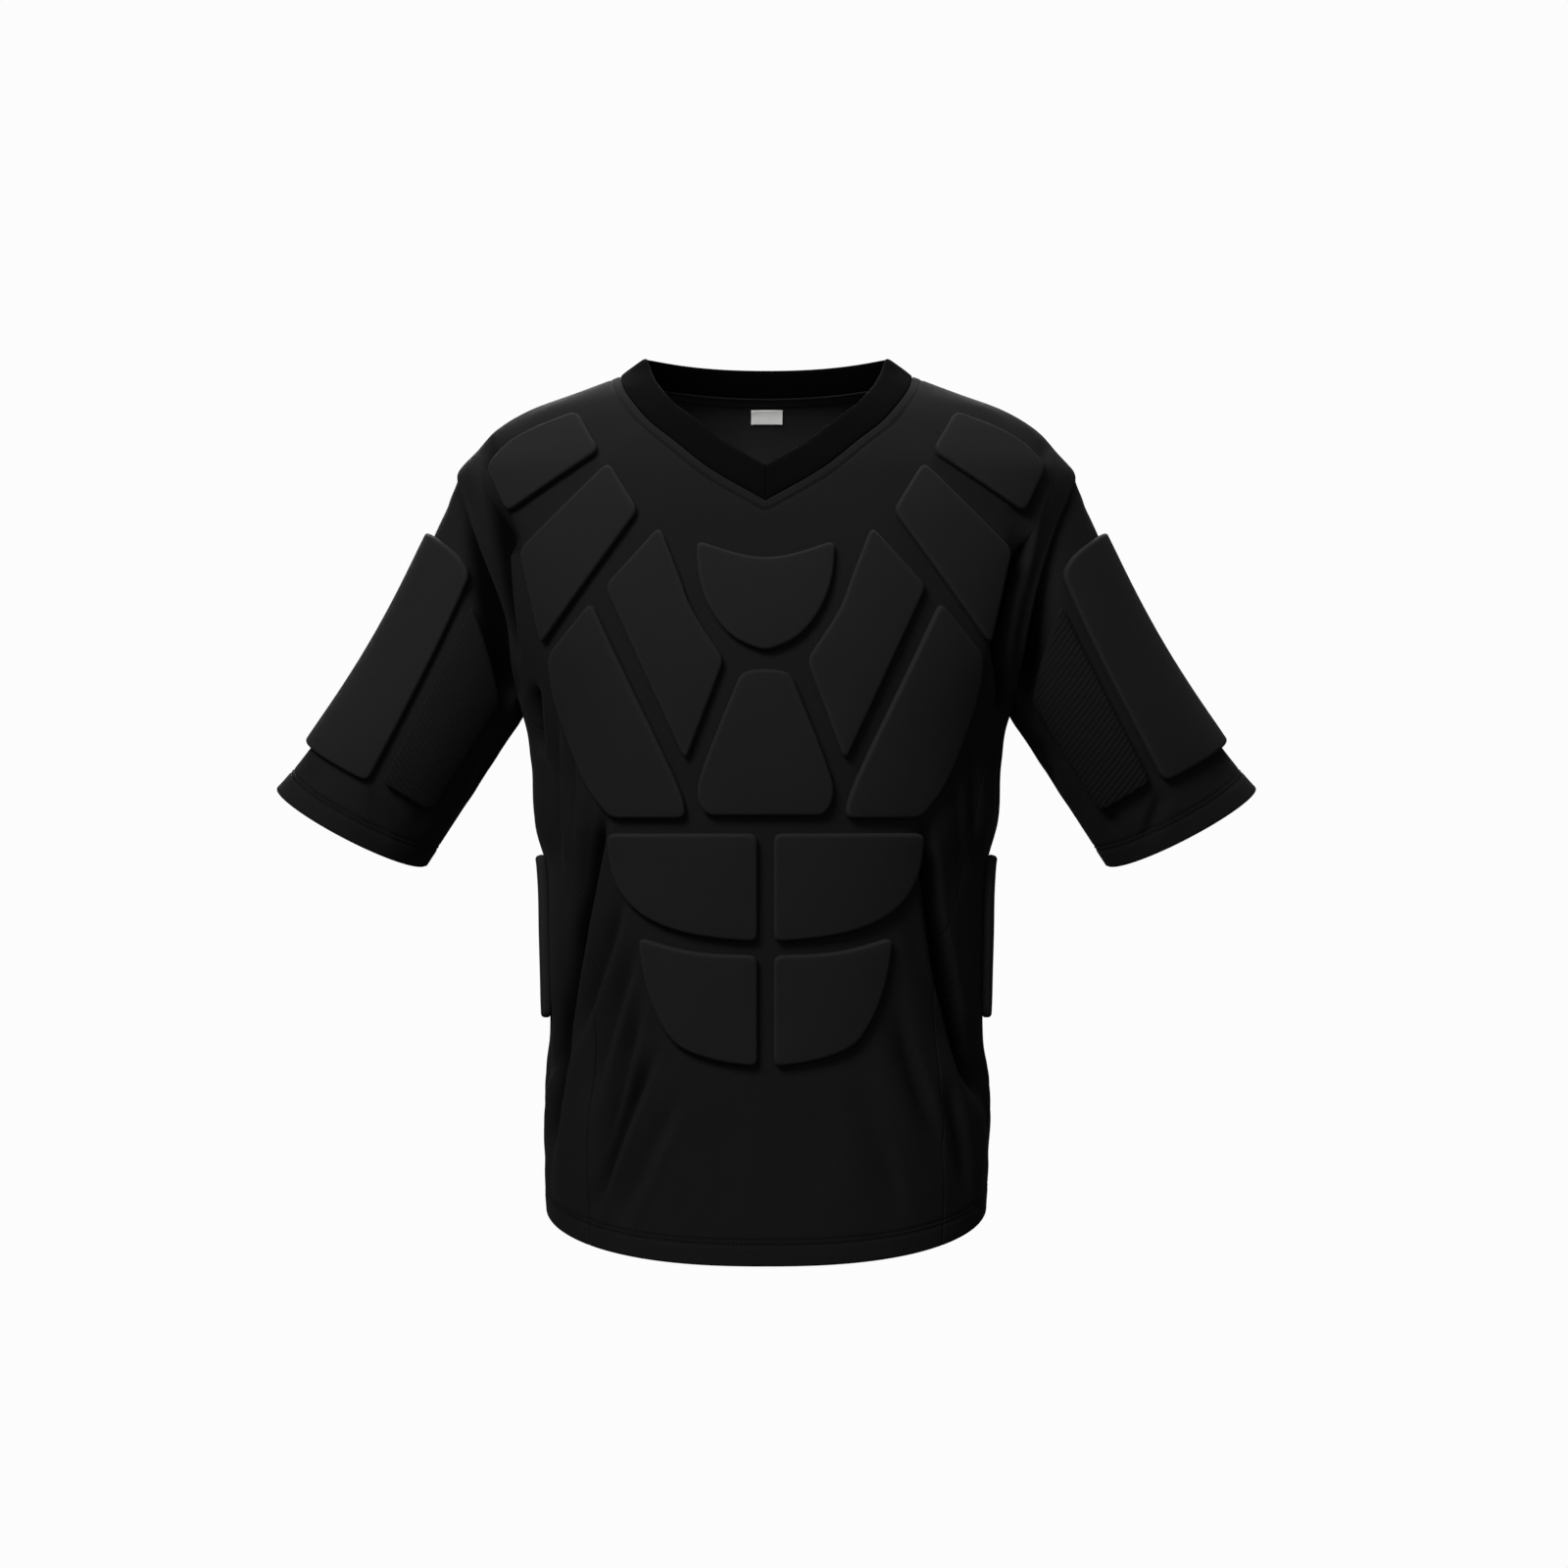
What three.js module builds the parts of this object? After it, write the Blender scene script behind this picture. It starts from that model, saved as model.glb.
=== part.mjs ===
// Padded compression shirt, filled out as if worn: a knit body with side panels, elbow-length sleeves,
// a rib V collar and foam pads on the chest, abdomen, ribs, shoulders and upper arms.
// Millimetres, +Z up, the front faces -Y and the wearer's left is +X. The origin is the middle of the
// neck opening, level with the collar's side seams, where the wearer's shoulders hold the shirt up.
import * as THREE from "three";

const DEGREE = Math.PI / 180;

// Cloth
const CLOTH = 1.6; // thickness of the body knit
const HEM_CLOTH = 2.6; // the knit turned up and stitched down
const COLLAR_CLOTH = 2.4; // folded rib
const SEAM_GAP = 0.3; // between pieces at every seam
const HEM = 18; // depth of the turned-up hem and cuffs
const HEM_STEP = 1.5; // run over which the second layer starts
const COLLAR_WIDTH = 24.5;
const COLLAR_EASE = 0.2; // the band starts this much further from the body, as it bends at the shoulders
const LABEL = { halfWidth: 12.5, top: -17, bottom: -28, clear: 0.9, thickness: 0.8, columns: 4, rows: 2 };

// The filled-out torso: half width, and depth in front of and behind the shoulder line, by height
const SQUARENESS = 2.4; // exponent of the rounded sections
const TORSO = [
  { z: 10, halfWidth: 90, front: 6, back: 35 },
  { z: 0, halfWidth: 113, front: 22, back: 48 },
  { z: -13, halfWidth: 146, front: 44, back: 66 },
  { z: -27, halfWidth: 183, front: 61, back: 77 },
  { z: -42, halfWidth: 208, front: 73, back: 86 },
  { z: -58, halfWidth: 223, front: 83, back: 93 },
  { z: -80, halfWidth: 240, front: 94, back: 101 },
  { z: -115, halfWidth: 240, front: 107, back: 110 },
  { z: -160, halfWidth: 229, front: 118, back: 115 },
  { z: -210, halfWidth: 210, front: 126, back: 116 },
  { z: -262, halfWidth: 188, front: 129, back: 113 },
  { z: -300, halfWidth: 180, front: 128, back: 108 },
  { z: -345, halfWidth: 178, front: 124.5, back: 103 },
  { z: -378, halfWidth: 170, front: 121.5, back: 99 },
  { z: -430, halfWidth: 168, front: 117, back: 95 },
  { z: -505, halfWidth: 167, front: 112, back: 93 },
  { z: -575, halfWidth: 172, front: 112, back: 97 },
  { z: -680, halfWidth: 167, front: 114, back: 104 },
];

// Cut edges of the body
const NECK_HALF_WIDTH = 113; // to the collar seam, on the shoulder line
const BACK_NECK_DROP = 9;
const V_NECK = [
  { along: 0, x: 0, z: -104 },
  { along: 0.26, x: 42, z: -79 },
  { along: 0.46, x: 70, z: -56 },
  { along: 0.59, x: 88, z: -41 },
  { along: 0.72, x: 101, z: -25 },
  { along: 0.84, x: 109, z: -12 },
  { along: 1, x: 113, z: 0 },
];
const SHOULDER_DROP = 80; // from the collar to the tip of the shoulder seam
const SHOULDER_EASE = 1.4; // the shoulder seam steepens towards its tip
const ARMHOLE = { middle: -171, halfHeight: 91, halfDepth: 60, notch: 150 * DEGREE };
const HEM_SIDE = -641; // height of the hem at the sides
const HEM_DROP = 31; // how much lower it hangs at the centre
const HEM_SWEEP = 1.3; // keeps the curve flat at the sides
const SIDE_SEAM = [
  { z: -250, share: 0.985 }, // share of the half width
  { z: -285, share: 0.94 },
  { z: -320, share: 0.905 },
  { z: -380, share: 0.885 },
  { z: -440, share: 0.79 },
  { z: -480, share: 0.765 },
  { z: -560, share: 0.775 },
  { z: -665, share: 0.79 },
];

// The cuff is an ellipse across the arm; the sleeves run straight down to it
const CUFF = { x: 322, y: 8, z: -348, across: 65, deep: 52, tilt: 27.7 * DEGREE, frontDrop: 8 };
const SLEEVE_FULLNESS = 7; // front and back, half way down
const SLEEVE_PRESSED = 13; // the pad presses the outer side in by this much, half way down
const SLEEVE_RADIUS = 62; // turns millimetres round the sleeve into an angle
const SLEEVE_CROWDING = 1.25; // rows lie closer together towards the armhole

// Creases: troughs with a soft section, from one end to the other; side is +1 for the wearer's left
const TORSO_FOLDS = [
  { side: -1, face: -1, x1: 127, z1: -352, x2: 140, z2: -425, width: 13, depth: 5 },
  { side: -1, face: -1, x1: 140, z1: -425, x2: 159, z2: -497, width: 14, depth: 7 },
  { side: -1, face: -1, x1: 96, z1: -475, x2: 126, z2: -551, width: 14, depth: 5 },
  { side: -1, face: -1, x1: 88, z1: -559, x2: 125, z2: -618, width: 14, depth: 5 },
  { side: 1, face: -1, x1: 127, z1: -352, x2: 133, z2: -450, width: 13, depth: 5 },
  { side: 1, face: -1, x1: 133, z1: -450, x2: 163, z2: -550, width: 14, depth: 7 },
  { side: 1, face: 1, x1: 96, z1: -440, x2: 148, z2: -520, width: 14, depth: 4 },
  { side: -1, face: 1, x1: 104, z1: -400, x2: 150, z2: -490, width: 14, depth: 4 },
];
// The sleeve falls in behind the front edge of the armhole; turn is the angle round from the shoulder
const SLEEVE_FOLD = { start: 5, deepest: 13, width: 9, depth: 8, turn: 85 * DEGREE, spread: 48 * DEGREE };

// Strips that each piece is divided into
const BODY_ROWS = 15;
const ARM_ROWS = 10;
const NECK_COLUMNS = 7;
const SHOULDER_COLUMNS = 5;
const SIDE_COLUMNS = 6;
const SLEEVE_ROWS = 11;
const COLLAR_ROWS = 2;

// Pads: foam cut to a rounded outline and bevelled round its edge
const PAD = { height: 7, edge: 4, bevel: 2.6, dome: 0.8, corner: 9 };
// The inner rings of a pad, as shares of its outline, the longest step along its edge, and its
// distance from the cloth, whose flat facets stand out a little where it is bent
const FLAT = { rings: [0.6, 0.25], longest: 34, clear: 0.9 };
const BENT = { rings: [0.75, 0.5, 0.25], longest: 19, clear: 1.1 };
const WRAPPED = { rings: [0.75, 0.5, 0.25], longest: 19, clear: 2.0 };
// Corners of the pads in millimetres. On the front they are x and z, on the flank y and z, and on the
// sleeve the way round from its outer line towards the front and the way up from the cuff. Each is cut
// left and right, but those of a middle pad are its wearer's left half, mirrored into the other.
const PADS = [
  { name: "sternum", on: "middle", lay: FLAT,
    corners: [[0, -149], [18, -147], [51, -136], [50, -163], [41, -188], [24, -209], [0, -218]] },
  { name: "centre_chest", on: "middle", lay: FLAT,
    corners: [[0, -230], [18, -233], [49, -309], [50, -326], [43, -338], [0, -338]] },
  { name: "shoulder_top", on: "front", lay: FLAT,
    corners: [[142, -36], [190, -54], [209, -77], [192, -112], [124, -67]] },
  { name: "shoulder_front", on: "front", lay: FLAT,
    corners: [[117, -76], [182, -140], [165, -211], [94, -113]] },
  { name: "chest_inner", on: "front", lay: FLAT,
    corners: [[78, -125], [118, -169], [58, -298], [30, -224], [55, -187], [63, -163]] },
  { name: "chest_outer", on: "front", lay: FLAT,
    corners: [[128, -180], [160, -219], [157, -246], [146, -278], [132, -316], [113, -340], [58, -340],
      [59, -326], [76, -288], [98, -243]] },
  { name: "abs_upper", on: "front", lay: FLAT,
    corners: [[6, -351], [116, -351], [113, -379], [104, -399], [88, -414], [64, -424], [36, -429],
      [6, -431]] },
  { name: "abs_lower", on: "front", lay: FLAT,
    corners: [[6, -441], [46, -440], [70, -435], [93, -428], [89, -459], [80, -486], [69, -505],
      [56, -514], [32, -521], [6, -524]] },
  { name: "ribs", on: "flank", lay: BENT,
    corners: [[-30, -368], [46, -374], [50, -430], [40, -496], [-27, -494], [-32, -430]] },
  { name: "sleeve_outer", on: "sleeve", lay: WRAPPED,
    corners: [[-52, 220], [10, 232], [60, 233], [77, 223], [91, 48], [14, 42], [-60, 40]] },
  { name: "sleeve_inner", on: "sleeve", lay: BENT,
    corners: [[88, 205], [112, 182], [144, 146], [144, 48], [100, 53]] },
];

const KNIT_FINISH = { color: 0x1b1b1d, roughness: 0.9 };
const RIB_FINISH = { color: 0x161617, roughness: 0.9 };
const PAD_FINISH = { color: 0x232325, roughness: 0.85 };
const MESH_FINISH = { color: 0x1a1a1b, roughness: 0.85 };
const LABEL_FINISH = { color: 0xe9e9e6, roughness: 0.7 };

const mix = (a, b, share) => a + (b - a) * share;
const limit = (value, least, most) => Math.min(most, Math.max(least, value));
const power = (value, exponent) => Math.pow(Math.max(0, value), exponent);
const step = (from, to, value) => {
  const share = limit((value - from) / (to - from), 0, 1);
  return share * share * (3 - 2 * share);
};
const bump = (distance, width) => Math.exp(-((distance / width) ** 2));

// A smooth curve through one column of a table, read at a value of another column
function tableAt(table, by, at, column) {
  const last = table.length - 1;
  const rising = Math.sign(table[last][by] - table[0][by]);
  let row = 0;
  while (row < last - 1 && (at - table[row + 1][by]) * rising > 0) row += 1;
  const slope = (here) => {
    const before = table[Math.max(0, here - 1)];
    const after = table[Math.min(last, here + 1)];
    return (after[column] - before[column]) / (after[by] - before[by]);
  };
  const span = table[row + 1][by] - table[row][by];
  const t = limit((at - table[row][by]) / span, 0, 1);
  const eased = t * t * (3 - 2 * t);
  const leaving = slope(row) * span * t * (1 - t) ** 2;
  const arriving = slope(row + 1) * span * t * t * (t - 1);
  return mix(table[row][column], table[row + 1][column], eased) + leaving + arriving;
}

// TORSO

const torsoSize = (z, face) => ({
  halfWidth: tableAt(TORSO, "z", z, "halfWidth"),
  depth: tableAt(TORSO, "z", z, face < 0 ? "front" : "back"),
});
const otherShare = (share) => power(1 - power(Math.abs(share), SQUARENESS), 1 / SQUARENESS);
// turn is the angle round a section, from 0 at the centre to 90 degrees at the side
const shareOfTurn = (turn) => power(Math.sin(turn), 2 / SQUARENESS);
const turnOfShare = (share) => Math.asin(limit(power(share, SQUARENESS / 2), 0, 1));
const turnOfX = (x, z) => turnOfShare(x / torsoSize(z, -1).halfWidth);
const turnOfY = (y, z) => Math.PI / 2 - turnOfShare(Math.abs(y) / torsoSize(z, Math.sign(y) || -1).depth);

function foldHeight(x, z, face) {
  let height = 0;
  for (const fold of TORSO_FOLDS) {
    if (fold.face !== face) continue;
    const run = new THREE.Vector2(fold.side * (fold.x2 - fold.x1), fold.z2 - fold.z1);
    const from = new THREE.Vector2(x - fold.side * fold.x1, z - fold.z1);
    const along = from.dot(run) / run.lengthSq();
    const off = from.sub(run.multiplyScalar(limit(along, 0, 1))).length();
    height -= fold.depth * bump(off, fold.width);
  }
  return height;
}

// A point of the cloth's outer face with the direction out of it
function torso(turn, z, face, side, creased = true) {
  const { halfWidth, depth } = torsoSize(z, face);
  const across = shareOfTurn(turn);
  const through = otherShare(across);
  const below = torsoSize(z - 1, face);
  const above = torsoSize(z + 1, face);
  const x = side * halfWidth * across;
  const point = new THREE.Vector3(x, face * depth * through, z);
  const normal = new THREE.Vector3(
    (side * power(across, SQUARENESS - 1)) / halfWidth,
    (face * power(through, SQUARENESS - 1)) / depth,
    (-power(across, SQUARENESS) * (above.halfWidth - below.halfWidth)) / 2 / halfWidth
      - (power(through, SQUARENESS) * (above.depth - below.depth)) / 2 / depth,
  ).normalize();
  return { point: point.addScaledVector(normal, creased ? foldHeight(x, z, face) : 0), normal };
}

const hemHeight = (turn) => HEM_SIDE - HEM_DROP * power(otherShare(shareOfTurn(turn)), HEM_SWEEP);

// turn and height of the torso's cut edges
const frontNeck = (share) => {
  const z = tableAt(V_NECK, "along", share, "z");
  return { turn: share >= 1 ? Math.PI / 2 : turnOfX(tableAt(V_NECK, "along", share, "x"), z), z };
};
const backNeck = (share) => {
  const z = -BACK_NECK_DROP * Math.cos((share * Math.PI) / 2) ** 2;
  const x = NECK_HALF_WIDTH * Math.sin((share * Math.PI) / 2);
  return { turn: share >= 1 ? Math.PI / 2 : turnOfX(x, z), z };
};
const shoulder = (share) => ({ turn: Math.PI / 2, z: -SHOULDER_DROP * power(share, SHOULDER_EASE) });
const sideSeam = (z) => turnOfShare(tableAt(SIDE_SEAM, "z", z, "share"));
// round is the angle round the armhole, from the shoulder tip forwards
function armhole(round) {
  const z = ARMHOLE.middle + ARMHOLE.halfHeight * Math.cos(round);
  const y = -ARMHOLE.halfDepth * Math.sin(round);
  return { turn: Math.abs(Math.sin(round)) < 1e-9 ? Math.PI / 2 : turnOfY(y, z), z, face: y > 0 ? 1 : -1 };
}
const NOTCH_HEIGHT = ARMHOLE.middle + ARMHOLE.halfHeight * Math.cos(ARMHOLE.notch);
const notchTurn = (face) => armhole(face < 0 ? ARMHOLE.notch : 2 * Math.PI - ARMHOLE.notch).turn;

// Height of a body row: the hem's own rows come first
function bodyRow(row, turn, top) {
  const hem = hemHeight(turn);
  if (row === 0) return hem;
  if (row === 1) return hem + HEM;
  return mix(hem + HEM + HEM_STEP, top, (row - 2) / (BODY_ROWS - 2));
}
const bodyWall = (row) => (row < 2 ? HEM_CLOTH : CLOTH);

// SLEEVES

function sleeveBase(round, share, side) {
  const hole = armhole(round);
  const start = torso(hole.turn, hole.z, hole.face, side).point;
  const out = CUFF.across * Math.cos(round);
  const end = new THREE.Vector3(
    side * (CUFF.x + out * Math.cos(CUFF.tilt)),
    CUFF.y - CUFF.deep * Math.sin(round),
    CUFF.z + out * Math.sin(CUFF.tilt) - CUFF.frontDrop * Math.abs(Math.sin(round)),
  );
  const length = start.distanceTo(end);
  const point = start.lerp(end, share);
  point.y -= SLEEVE_FULLNESS * Math.sin(round) * Math.sin(Math.PI * share);
  const pressed = SLEEVE_PRESSED * step(-0.3, 1, Math.cos(round)) * power(Math.sin(Math.PI * share), 0.75);
  point.x -= side * pressed * Math.cos(CUFF.tilt);
  point.z -= pressed * Math.sin(CUFF.tilt);
  return { point, length };
}
// outward comes from steps round and along the sleeve
function sleeve(round, share, side, creased = true) {
  const small = 1e-3;
  const { point, length } = sleeveBase(round, share, side);
  const base = (turned, moved) => sleeveBase(round + turned, share + moved, side).point;
  const around = base(small, 0).sub(base(-small, 0));
  const down = base(0, small).sub(base(0, -small));
  const normal = around.cross(down).multiplyScalar(side).normalize();
  const reach = share * length;
  const fold = SLEEVE_FOLD.depth * bump(reach - SLEEVE_FOLD.deepest, SLEEVE_FOLD.width)
    * bump(Math.min(round, 2 * Math.PI - round) - SLEEVE_FOLD.turn, SLEEVE_FOLD.spread)
    * step(0, SLEEVE_FOLD.start, reach) * (round < Math.PI ? 1 : 0.5);
  return { point: point.addScaledVector(normal, creased ? -fold : 0), normal, length };
}

// Angles round the armhole at which body and sleeve share their corners
const ARMHOLE_ROUNDS = [];
for (let row = 0; row <= ARM_ROWS; row += 1) ARMHOLE_ROUNDS.push((ARMHOLE.notch * row) / ARM_ROWS);
for (let column = 1; column < SIDE_COLUMNS; column += 1) {
  ARMHOLE_ROUNDS.push(mix(ARMHOLE.notch, 2 * Math.PI - ARMHOLE.notch, column / SIDE_COLUMNS));
}
for (let row = ARM_ROWS; row > 0; row -= 1) {
  ARMHOLE_ROUNDS.push(2 * Math.PI - (ARMHOLE.notch * row) / ARM_ROWS);
}

// Where two pieces meet at an angle their walls share the plane between them: normal points along it,
// and reach is how much longer a step along it is than the wall's thickness
const LONGEST_MITRE = 2.6;
function mitre(first, second) {
  const normal = first.clone().add(second).normalize();
  return { normal, reach: Math.min(LONGEST_MITRE, 1 / Math.max(0.01, normal.dot(first))) };
}
function armholeMitre(round, side) {
  const hole = armhole(round);
  return mitre(torso(hole.turn, hole.z, hole.face, side).normal, sleeve(round, 0, side).normal);
}

// COLLAR

// seamShare runs round the neck in columns: 0 at the V, then over the wearer's left shoulder
const NECK_LOOP = 4 * NECK_COLUMNS;
function neckSeam(column) {
  const quarter = Math.floor(column / NECK_COLUMNS) % 4;
  const within = (column % NECK_COLUMNS) / NECK_COLUMNS;
  if (quarter === 0) return { ...frontNeck(within), face: -1, side: 1 };
  if (quarter === 1) return { ...backNeck(1 - within), face: 1, side: 1 };
  if (quarter === 2) return { ...backNeck(within), face: 1, side: -1 };
  return { ...frontNeck(1 - within), face: -1, side: -1 };
}
const COLLAR_LIFT = { front: 4 * DEGREE, back: 18 * DEGREE }; // how far the band stands up from the body
function collarSeam(column) {
  const at = (here) => {
    const { turn, z, face, side } = neckSeam((here + NECK_LOOP) % NECK_LOOP);
    return torso(turn, z, face, side);
  };
  const here = at(column);
  const before = here.point.clone().sub(at(column - 1).point).normalize();
  const after = at(column + 1).point.sub(here.point).normalize();
  const tangent = before.clone().add(after).normalize();
  const stretch = column % NECK_LOOP === 0 ? 1 / tangent.dot(after) : 1; // the mitre at the V
  const inward = here.normal.clone().cross(tangent).normalize();
  const lift = mix(COLLAR_LIFT.front, COLLAR_LIFT.back, step(-90, 50, here.point.y));
  const rise = inward.multiplyScalar(Math.cos(lift)).addScaledVector(here.normal, Math.sin(lift));
  const outward = tangent.clone().cross(rise).normalize();
  return { point: here.point, rise, outward, stretch, body: here.normal };
}
const collarMitre = (column) => {
  const seam = collarSeam(column);
  return mitre(seam.body, seam.outward);
};

// MESHES

// Rows of cells become one closed sheet. A cell's own is the direction out of the cloth, and its normal is
// the direction in which its wall is cut. Edges named in seams are drawn back by half the seam gap.
function sheetMesh(grid, { seams = [], loop = false } = {}) {
  const rows = grid.length;
  const columns = grid[0].length;
  const moved = grid.map((line) => line.map((cell) => cell.point.clone()));
  const shift = (row, column, before, after, inside) => {
    const cell = grid[row][column];
    const coming = cell.point.clone().sub(before.point).normalize();
    const going = after.point.clone().sub(cell.point).normalize();
    const edge = coming.clone().add(going).normalize();
    const corner = 1 / Math.max(0.5, edge.dot(before === cell ? going : coming));
    const away = edge.cross(cell.own).normalize();
    if (away.dot(inside.point.clone().sub(cell.point)) < 0) away.negate();
    moved[row][column].addScaledVector(away, (SEAM_GAP / 2) * cell.reach * corner);
  };
  const near = (index, count) => (loop ? (index + count) % count : limit(index, 0, count - 1));
  for (let column = 0; column < columns; column += 1) {
    const left = near(column - 1, columns);
    const right = near(column + 1, columns);
    if (seams.includes("first")) shift(0, column, grid[0][left], grid[0][right], grid[1][column]);
    if (seams.includes("last")) {
      shift(rows - 1, column, grid[rows - 1][left], grid[rows - 1][right], grid[rows - 2][column]);
    }
  }
  for (let row = 0; row < rows; row += 1) {
    const low = grid[limit(row - 1, 0, rows - 1)];
    const high = grid[limit(row + 1, 0, rows - 1)];
    if (seams.includes("left")) shift(row, 0, low[0], high[0], grid[row][1]);
    if (seams.includes("right")) {
      shift(row, columns - 1, low[columns - 1], high[columns - 1], grid[row][columns - 2]);
    }
  }
  const outer = moved.flat();
  const inner = grid.flatMap((line, row) => line.map((cell, column) =>
    moved[row][column].clone().addScaledVector(cell.normal, -cell.wall * cell.reach)));
  const triangles = [];
  const quad = (a, b, c, d) => triangles.push([a, b, c], [a, c, d]);
  const at = (row, column) => row * columns + (column % columns);
  const lastColumn = loop ? columns : columns - 1;
  for (let row = 0; row < rows - 1; row += 1) {
    for (let column = 0; column < lastColumn; column += 1) {
      const [a, b] = [at(row, column), at(row, column + 1)];
      const [c, d] = [at(row + 1, column + 1), at(row + 1, column)];
      quad(a, b, c, d);
      const [e, f, g, h] = [a, b, c, d].map((corner) => corner + outer.length);
      triangles.push([e, g, f], [e, h, g]);
    }
  }
  const rim = (from, to) => quad(to, from, from + outer.length, to + outer.length);
  for (let column = 0; column < lastColumn; column += 1) {
    rim(at(0, column), at(0, column + 1));
    rim(at(rows - 1, column + 1), at(rows - 1, column));
  }
  if (!loop) {
    for (let row = 0; row < rows - 1; row += 1) {
      rim(at(row + 1, 0), at(row, 0));
      rim(at(row, columns - 1), at(row + 1, columns - 1));
    }
  }
  return meshOf([...outer, ...inner], triangles);
}

// An indexed geometry with its faces outwards
function meshOf(points, triangles) {
  const volume = triangles.reduce(
    (sum, [a, b, c]) => sum + points[a].dot(points[b].clone().cross(points[c])), 0);
  const order = volume < 0 ? triangles.map(([a, b, c]) => [a, c, b]) : triangles;
  const geometry = new THREE.BufferGeometry();
  geometry.setAttribute("position", new THREE.Float32BufferAttribute(points.flatMap((p) => p.toArray()), 3));
  geometry.setIndex(order.flat());
  geometry.computeVertexNormals();
  return geometry;
}

// BODY PANELS

// The upper body is a patch between the notch row, the centre, the neck with the shoulder, and the armhole
const NECK_CROWDING = 1.35; // rows lie closer together towards the neck
function upperPatch(across, up, face, neck) {
  const low = (u) => ({ turn: u * notchTurn(face), z: NOTCH_HEIGHT });
  const neckShare = NECK_COLUMNS / (NECK_COLUMNS + SHOULDER_COLUMNS);
  const high = (u) => (u <= neckShare ? neck(u / neckShare) : shoulder((u - neckShare) / (1 - neckShare)));
  const centre = (v) => ({ turn: 0, z: mix(NOTCH_HEIGHT, neck(0).z, 1 - power(1 - v, NECK_CROWDING)) });
  const arm = (v) => armhole((face < 0 ? 1 : -1) * ARMHOLE.notch * (1 - v));
  const blend = (key) => {
    const corners = mix(mix(low(0)[key], low(1)[key], across), mix(high(0)[key], high(1)[key], across), up);
    const rising = mix(low(across)[key], high(across)[key], up);
    return rising + mix(centre(up)[key], arm(up)[key], across) - corners;
  };
  return { turn: limit(blend("turn"), 0, Math.PI / 2), z: blend("z") };
}

function bodyPanel(face, neck) {
  const half = NECK_COLUMNS + SHOULDER_COLUMNS;
  const grid = [];
  for (let row = 0; row <= BODY_ROWS + ARM_ROWS; row += 1) {
    const line = [];
    for (let column = -half; column <= half; column += 1) {
      const across = Math.abs(column) / half;
      const side = column < 0 ? -1 : 1;
      const up = (row - BODY_ROWS) / ARM_ROWS;
      let at;
      if (row <= BODY_ROWS) {
        const seamAt = bodyRow(row, sideSeam(HEM_SIDE), NOTCH_HEIGHT);
        const turn = across * (row === BODY_ROWS ? notchTurn(face) : sideSeam(seamAt));
        at = { turn, z: bodyRow(row, turn, NOTCH_HEIGHT) };
      } else {
        at = upperPatch(across, up, face, neck);
      }
      const { point, normal } = torso(at.turn, at.z, face, side);
      const cell = { point, normal, own: normal, wall: bodyWall(row), reach: 1 };
      if (Math.abs(column) === half && row >= BODY_ROWS) {
        const round = ARMHOLE.notch * (1 - up);
        Object.assign(cell, armholeMitre(face < 0 ? round : 2 * Math.PI - round, side));
      } else if (row === BODY_ROWS + ARM_ROWS && Math.abs(column) <= NECK_COLUMNS) {
        const fromFront = side > 0 ? Math.abs(column) : NECK_LOOP - Math.abs(column);
        const fromBack = 2 * NECK_COLUMNS - side * Math.abs(column);
        Object.assign(cell, collarMitre((face < 0 ? fromFront : fromBack) % NECK_LOOP));
      }
      line.push(cell);
    }
    grid.push(line);
  }
  return sheetMesh(grid, { seams: ["left", "right", "last"] });
}

function sidePanel(side) {
  const grid = [];
  for (let row = 0; row <= BODY_ROWS; row += 1) {
    const line = [];
    for (let column = 0; column <= SIDE_COLUMNS; column += 1) {
      const round = mix(ARMHOLE.notch, 2 * Math.PI - ARMHOLE.notch, column / SIDE_COLUMNS);
      const top = armhole(round);
      const seamTurn = Math.PI / 2 - sideSeam(bodyRow(row, sideSeam(HEM_SIDE), NOTCH_HEIGHT));
      const past = mix(-seamTurn, seamTurn, column / SIDE_COLUMNS);
      const turn = row === BODY_ROWS ? top.turn : Math.PI / 2 - Math.abs(past);
      const z = bodyRow(row, turn, top.z);
      const { point, normal } = torso(turn, z, past > 0 ? 1 : -1, side);
      const cell = { point, normal, own: normal, wall: bodyWall(row), reach: 1 };
      if (row === BODY_ROWS) Object.assign(cell, armholeMitre(round, side));
      line.push(cell);
    }
    grid.push(line);
  }
  return sheetMesh(grid, { seams: ["left", "right", "last"] });
}

// Sleeve rows lie close together at the armhole and, for the turned-up cuff, at the end
function sleeveMesh(side) {
  const grid = [];
  for (let row = 0; row <= SLEEVE_ROWS; row += 1) {
    grid.push(ARMHOLE_ROUNDS.map((round) => {
      const { length } = sleeveBase(round, 0, side);
      const cuffStart = 1 - (HEM + HEM_STEP) / length;
      const fromCuff = SLEEVE_ROWS - row;
      let share = cuffStart * power(row / (SLEEVE_ROWS - 2), SLEEVE_CROWDING);
      if (fromCuff === 1) share = 1 - HEM / length;
      if (fromCuff === 0) share = 1;
      const { point, normal } = sleeve(round, share, side);
      const cell = { point, normal, own: normal, wall: fromCuff < 2 ? HEM_CLOTH : CLOTH, reach: 1 };
      return row === 0 ? Object.assign(cell, armholeMitre(round, side)) : cell;
    }));
  }
  return sheetMesh(grid, { seams: ["first"], loop: true });
}

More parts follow.
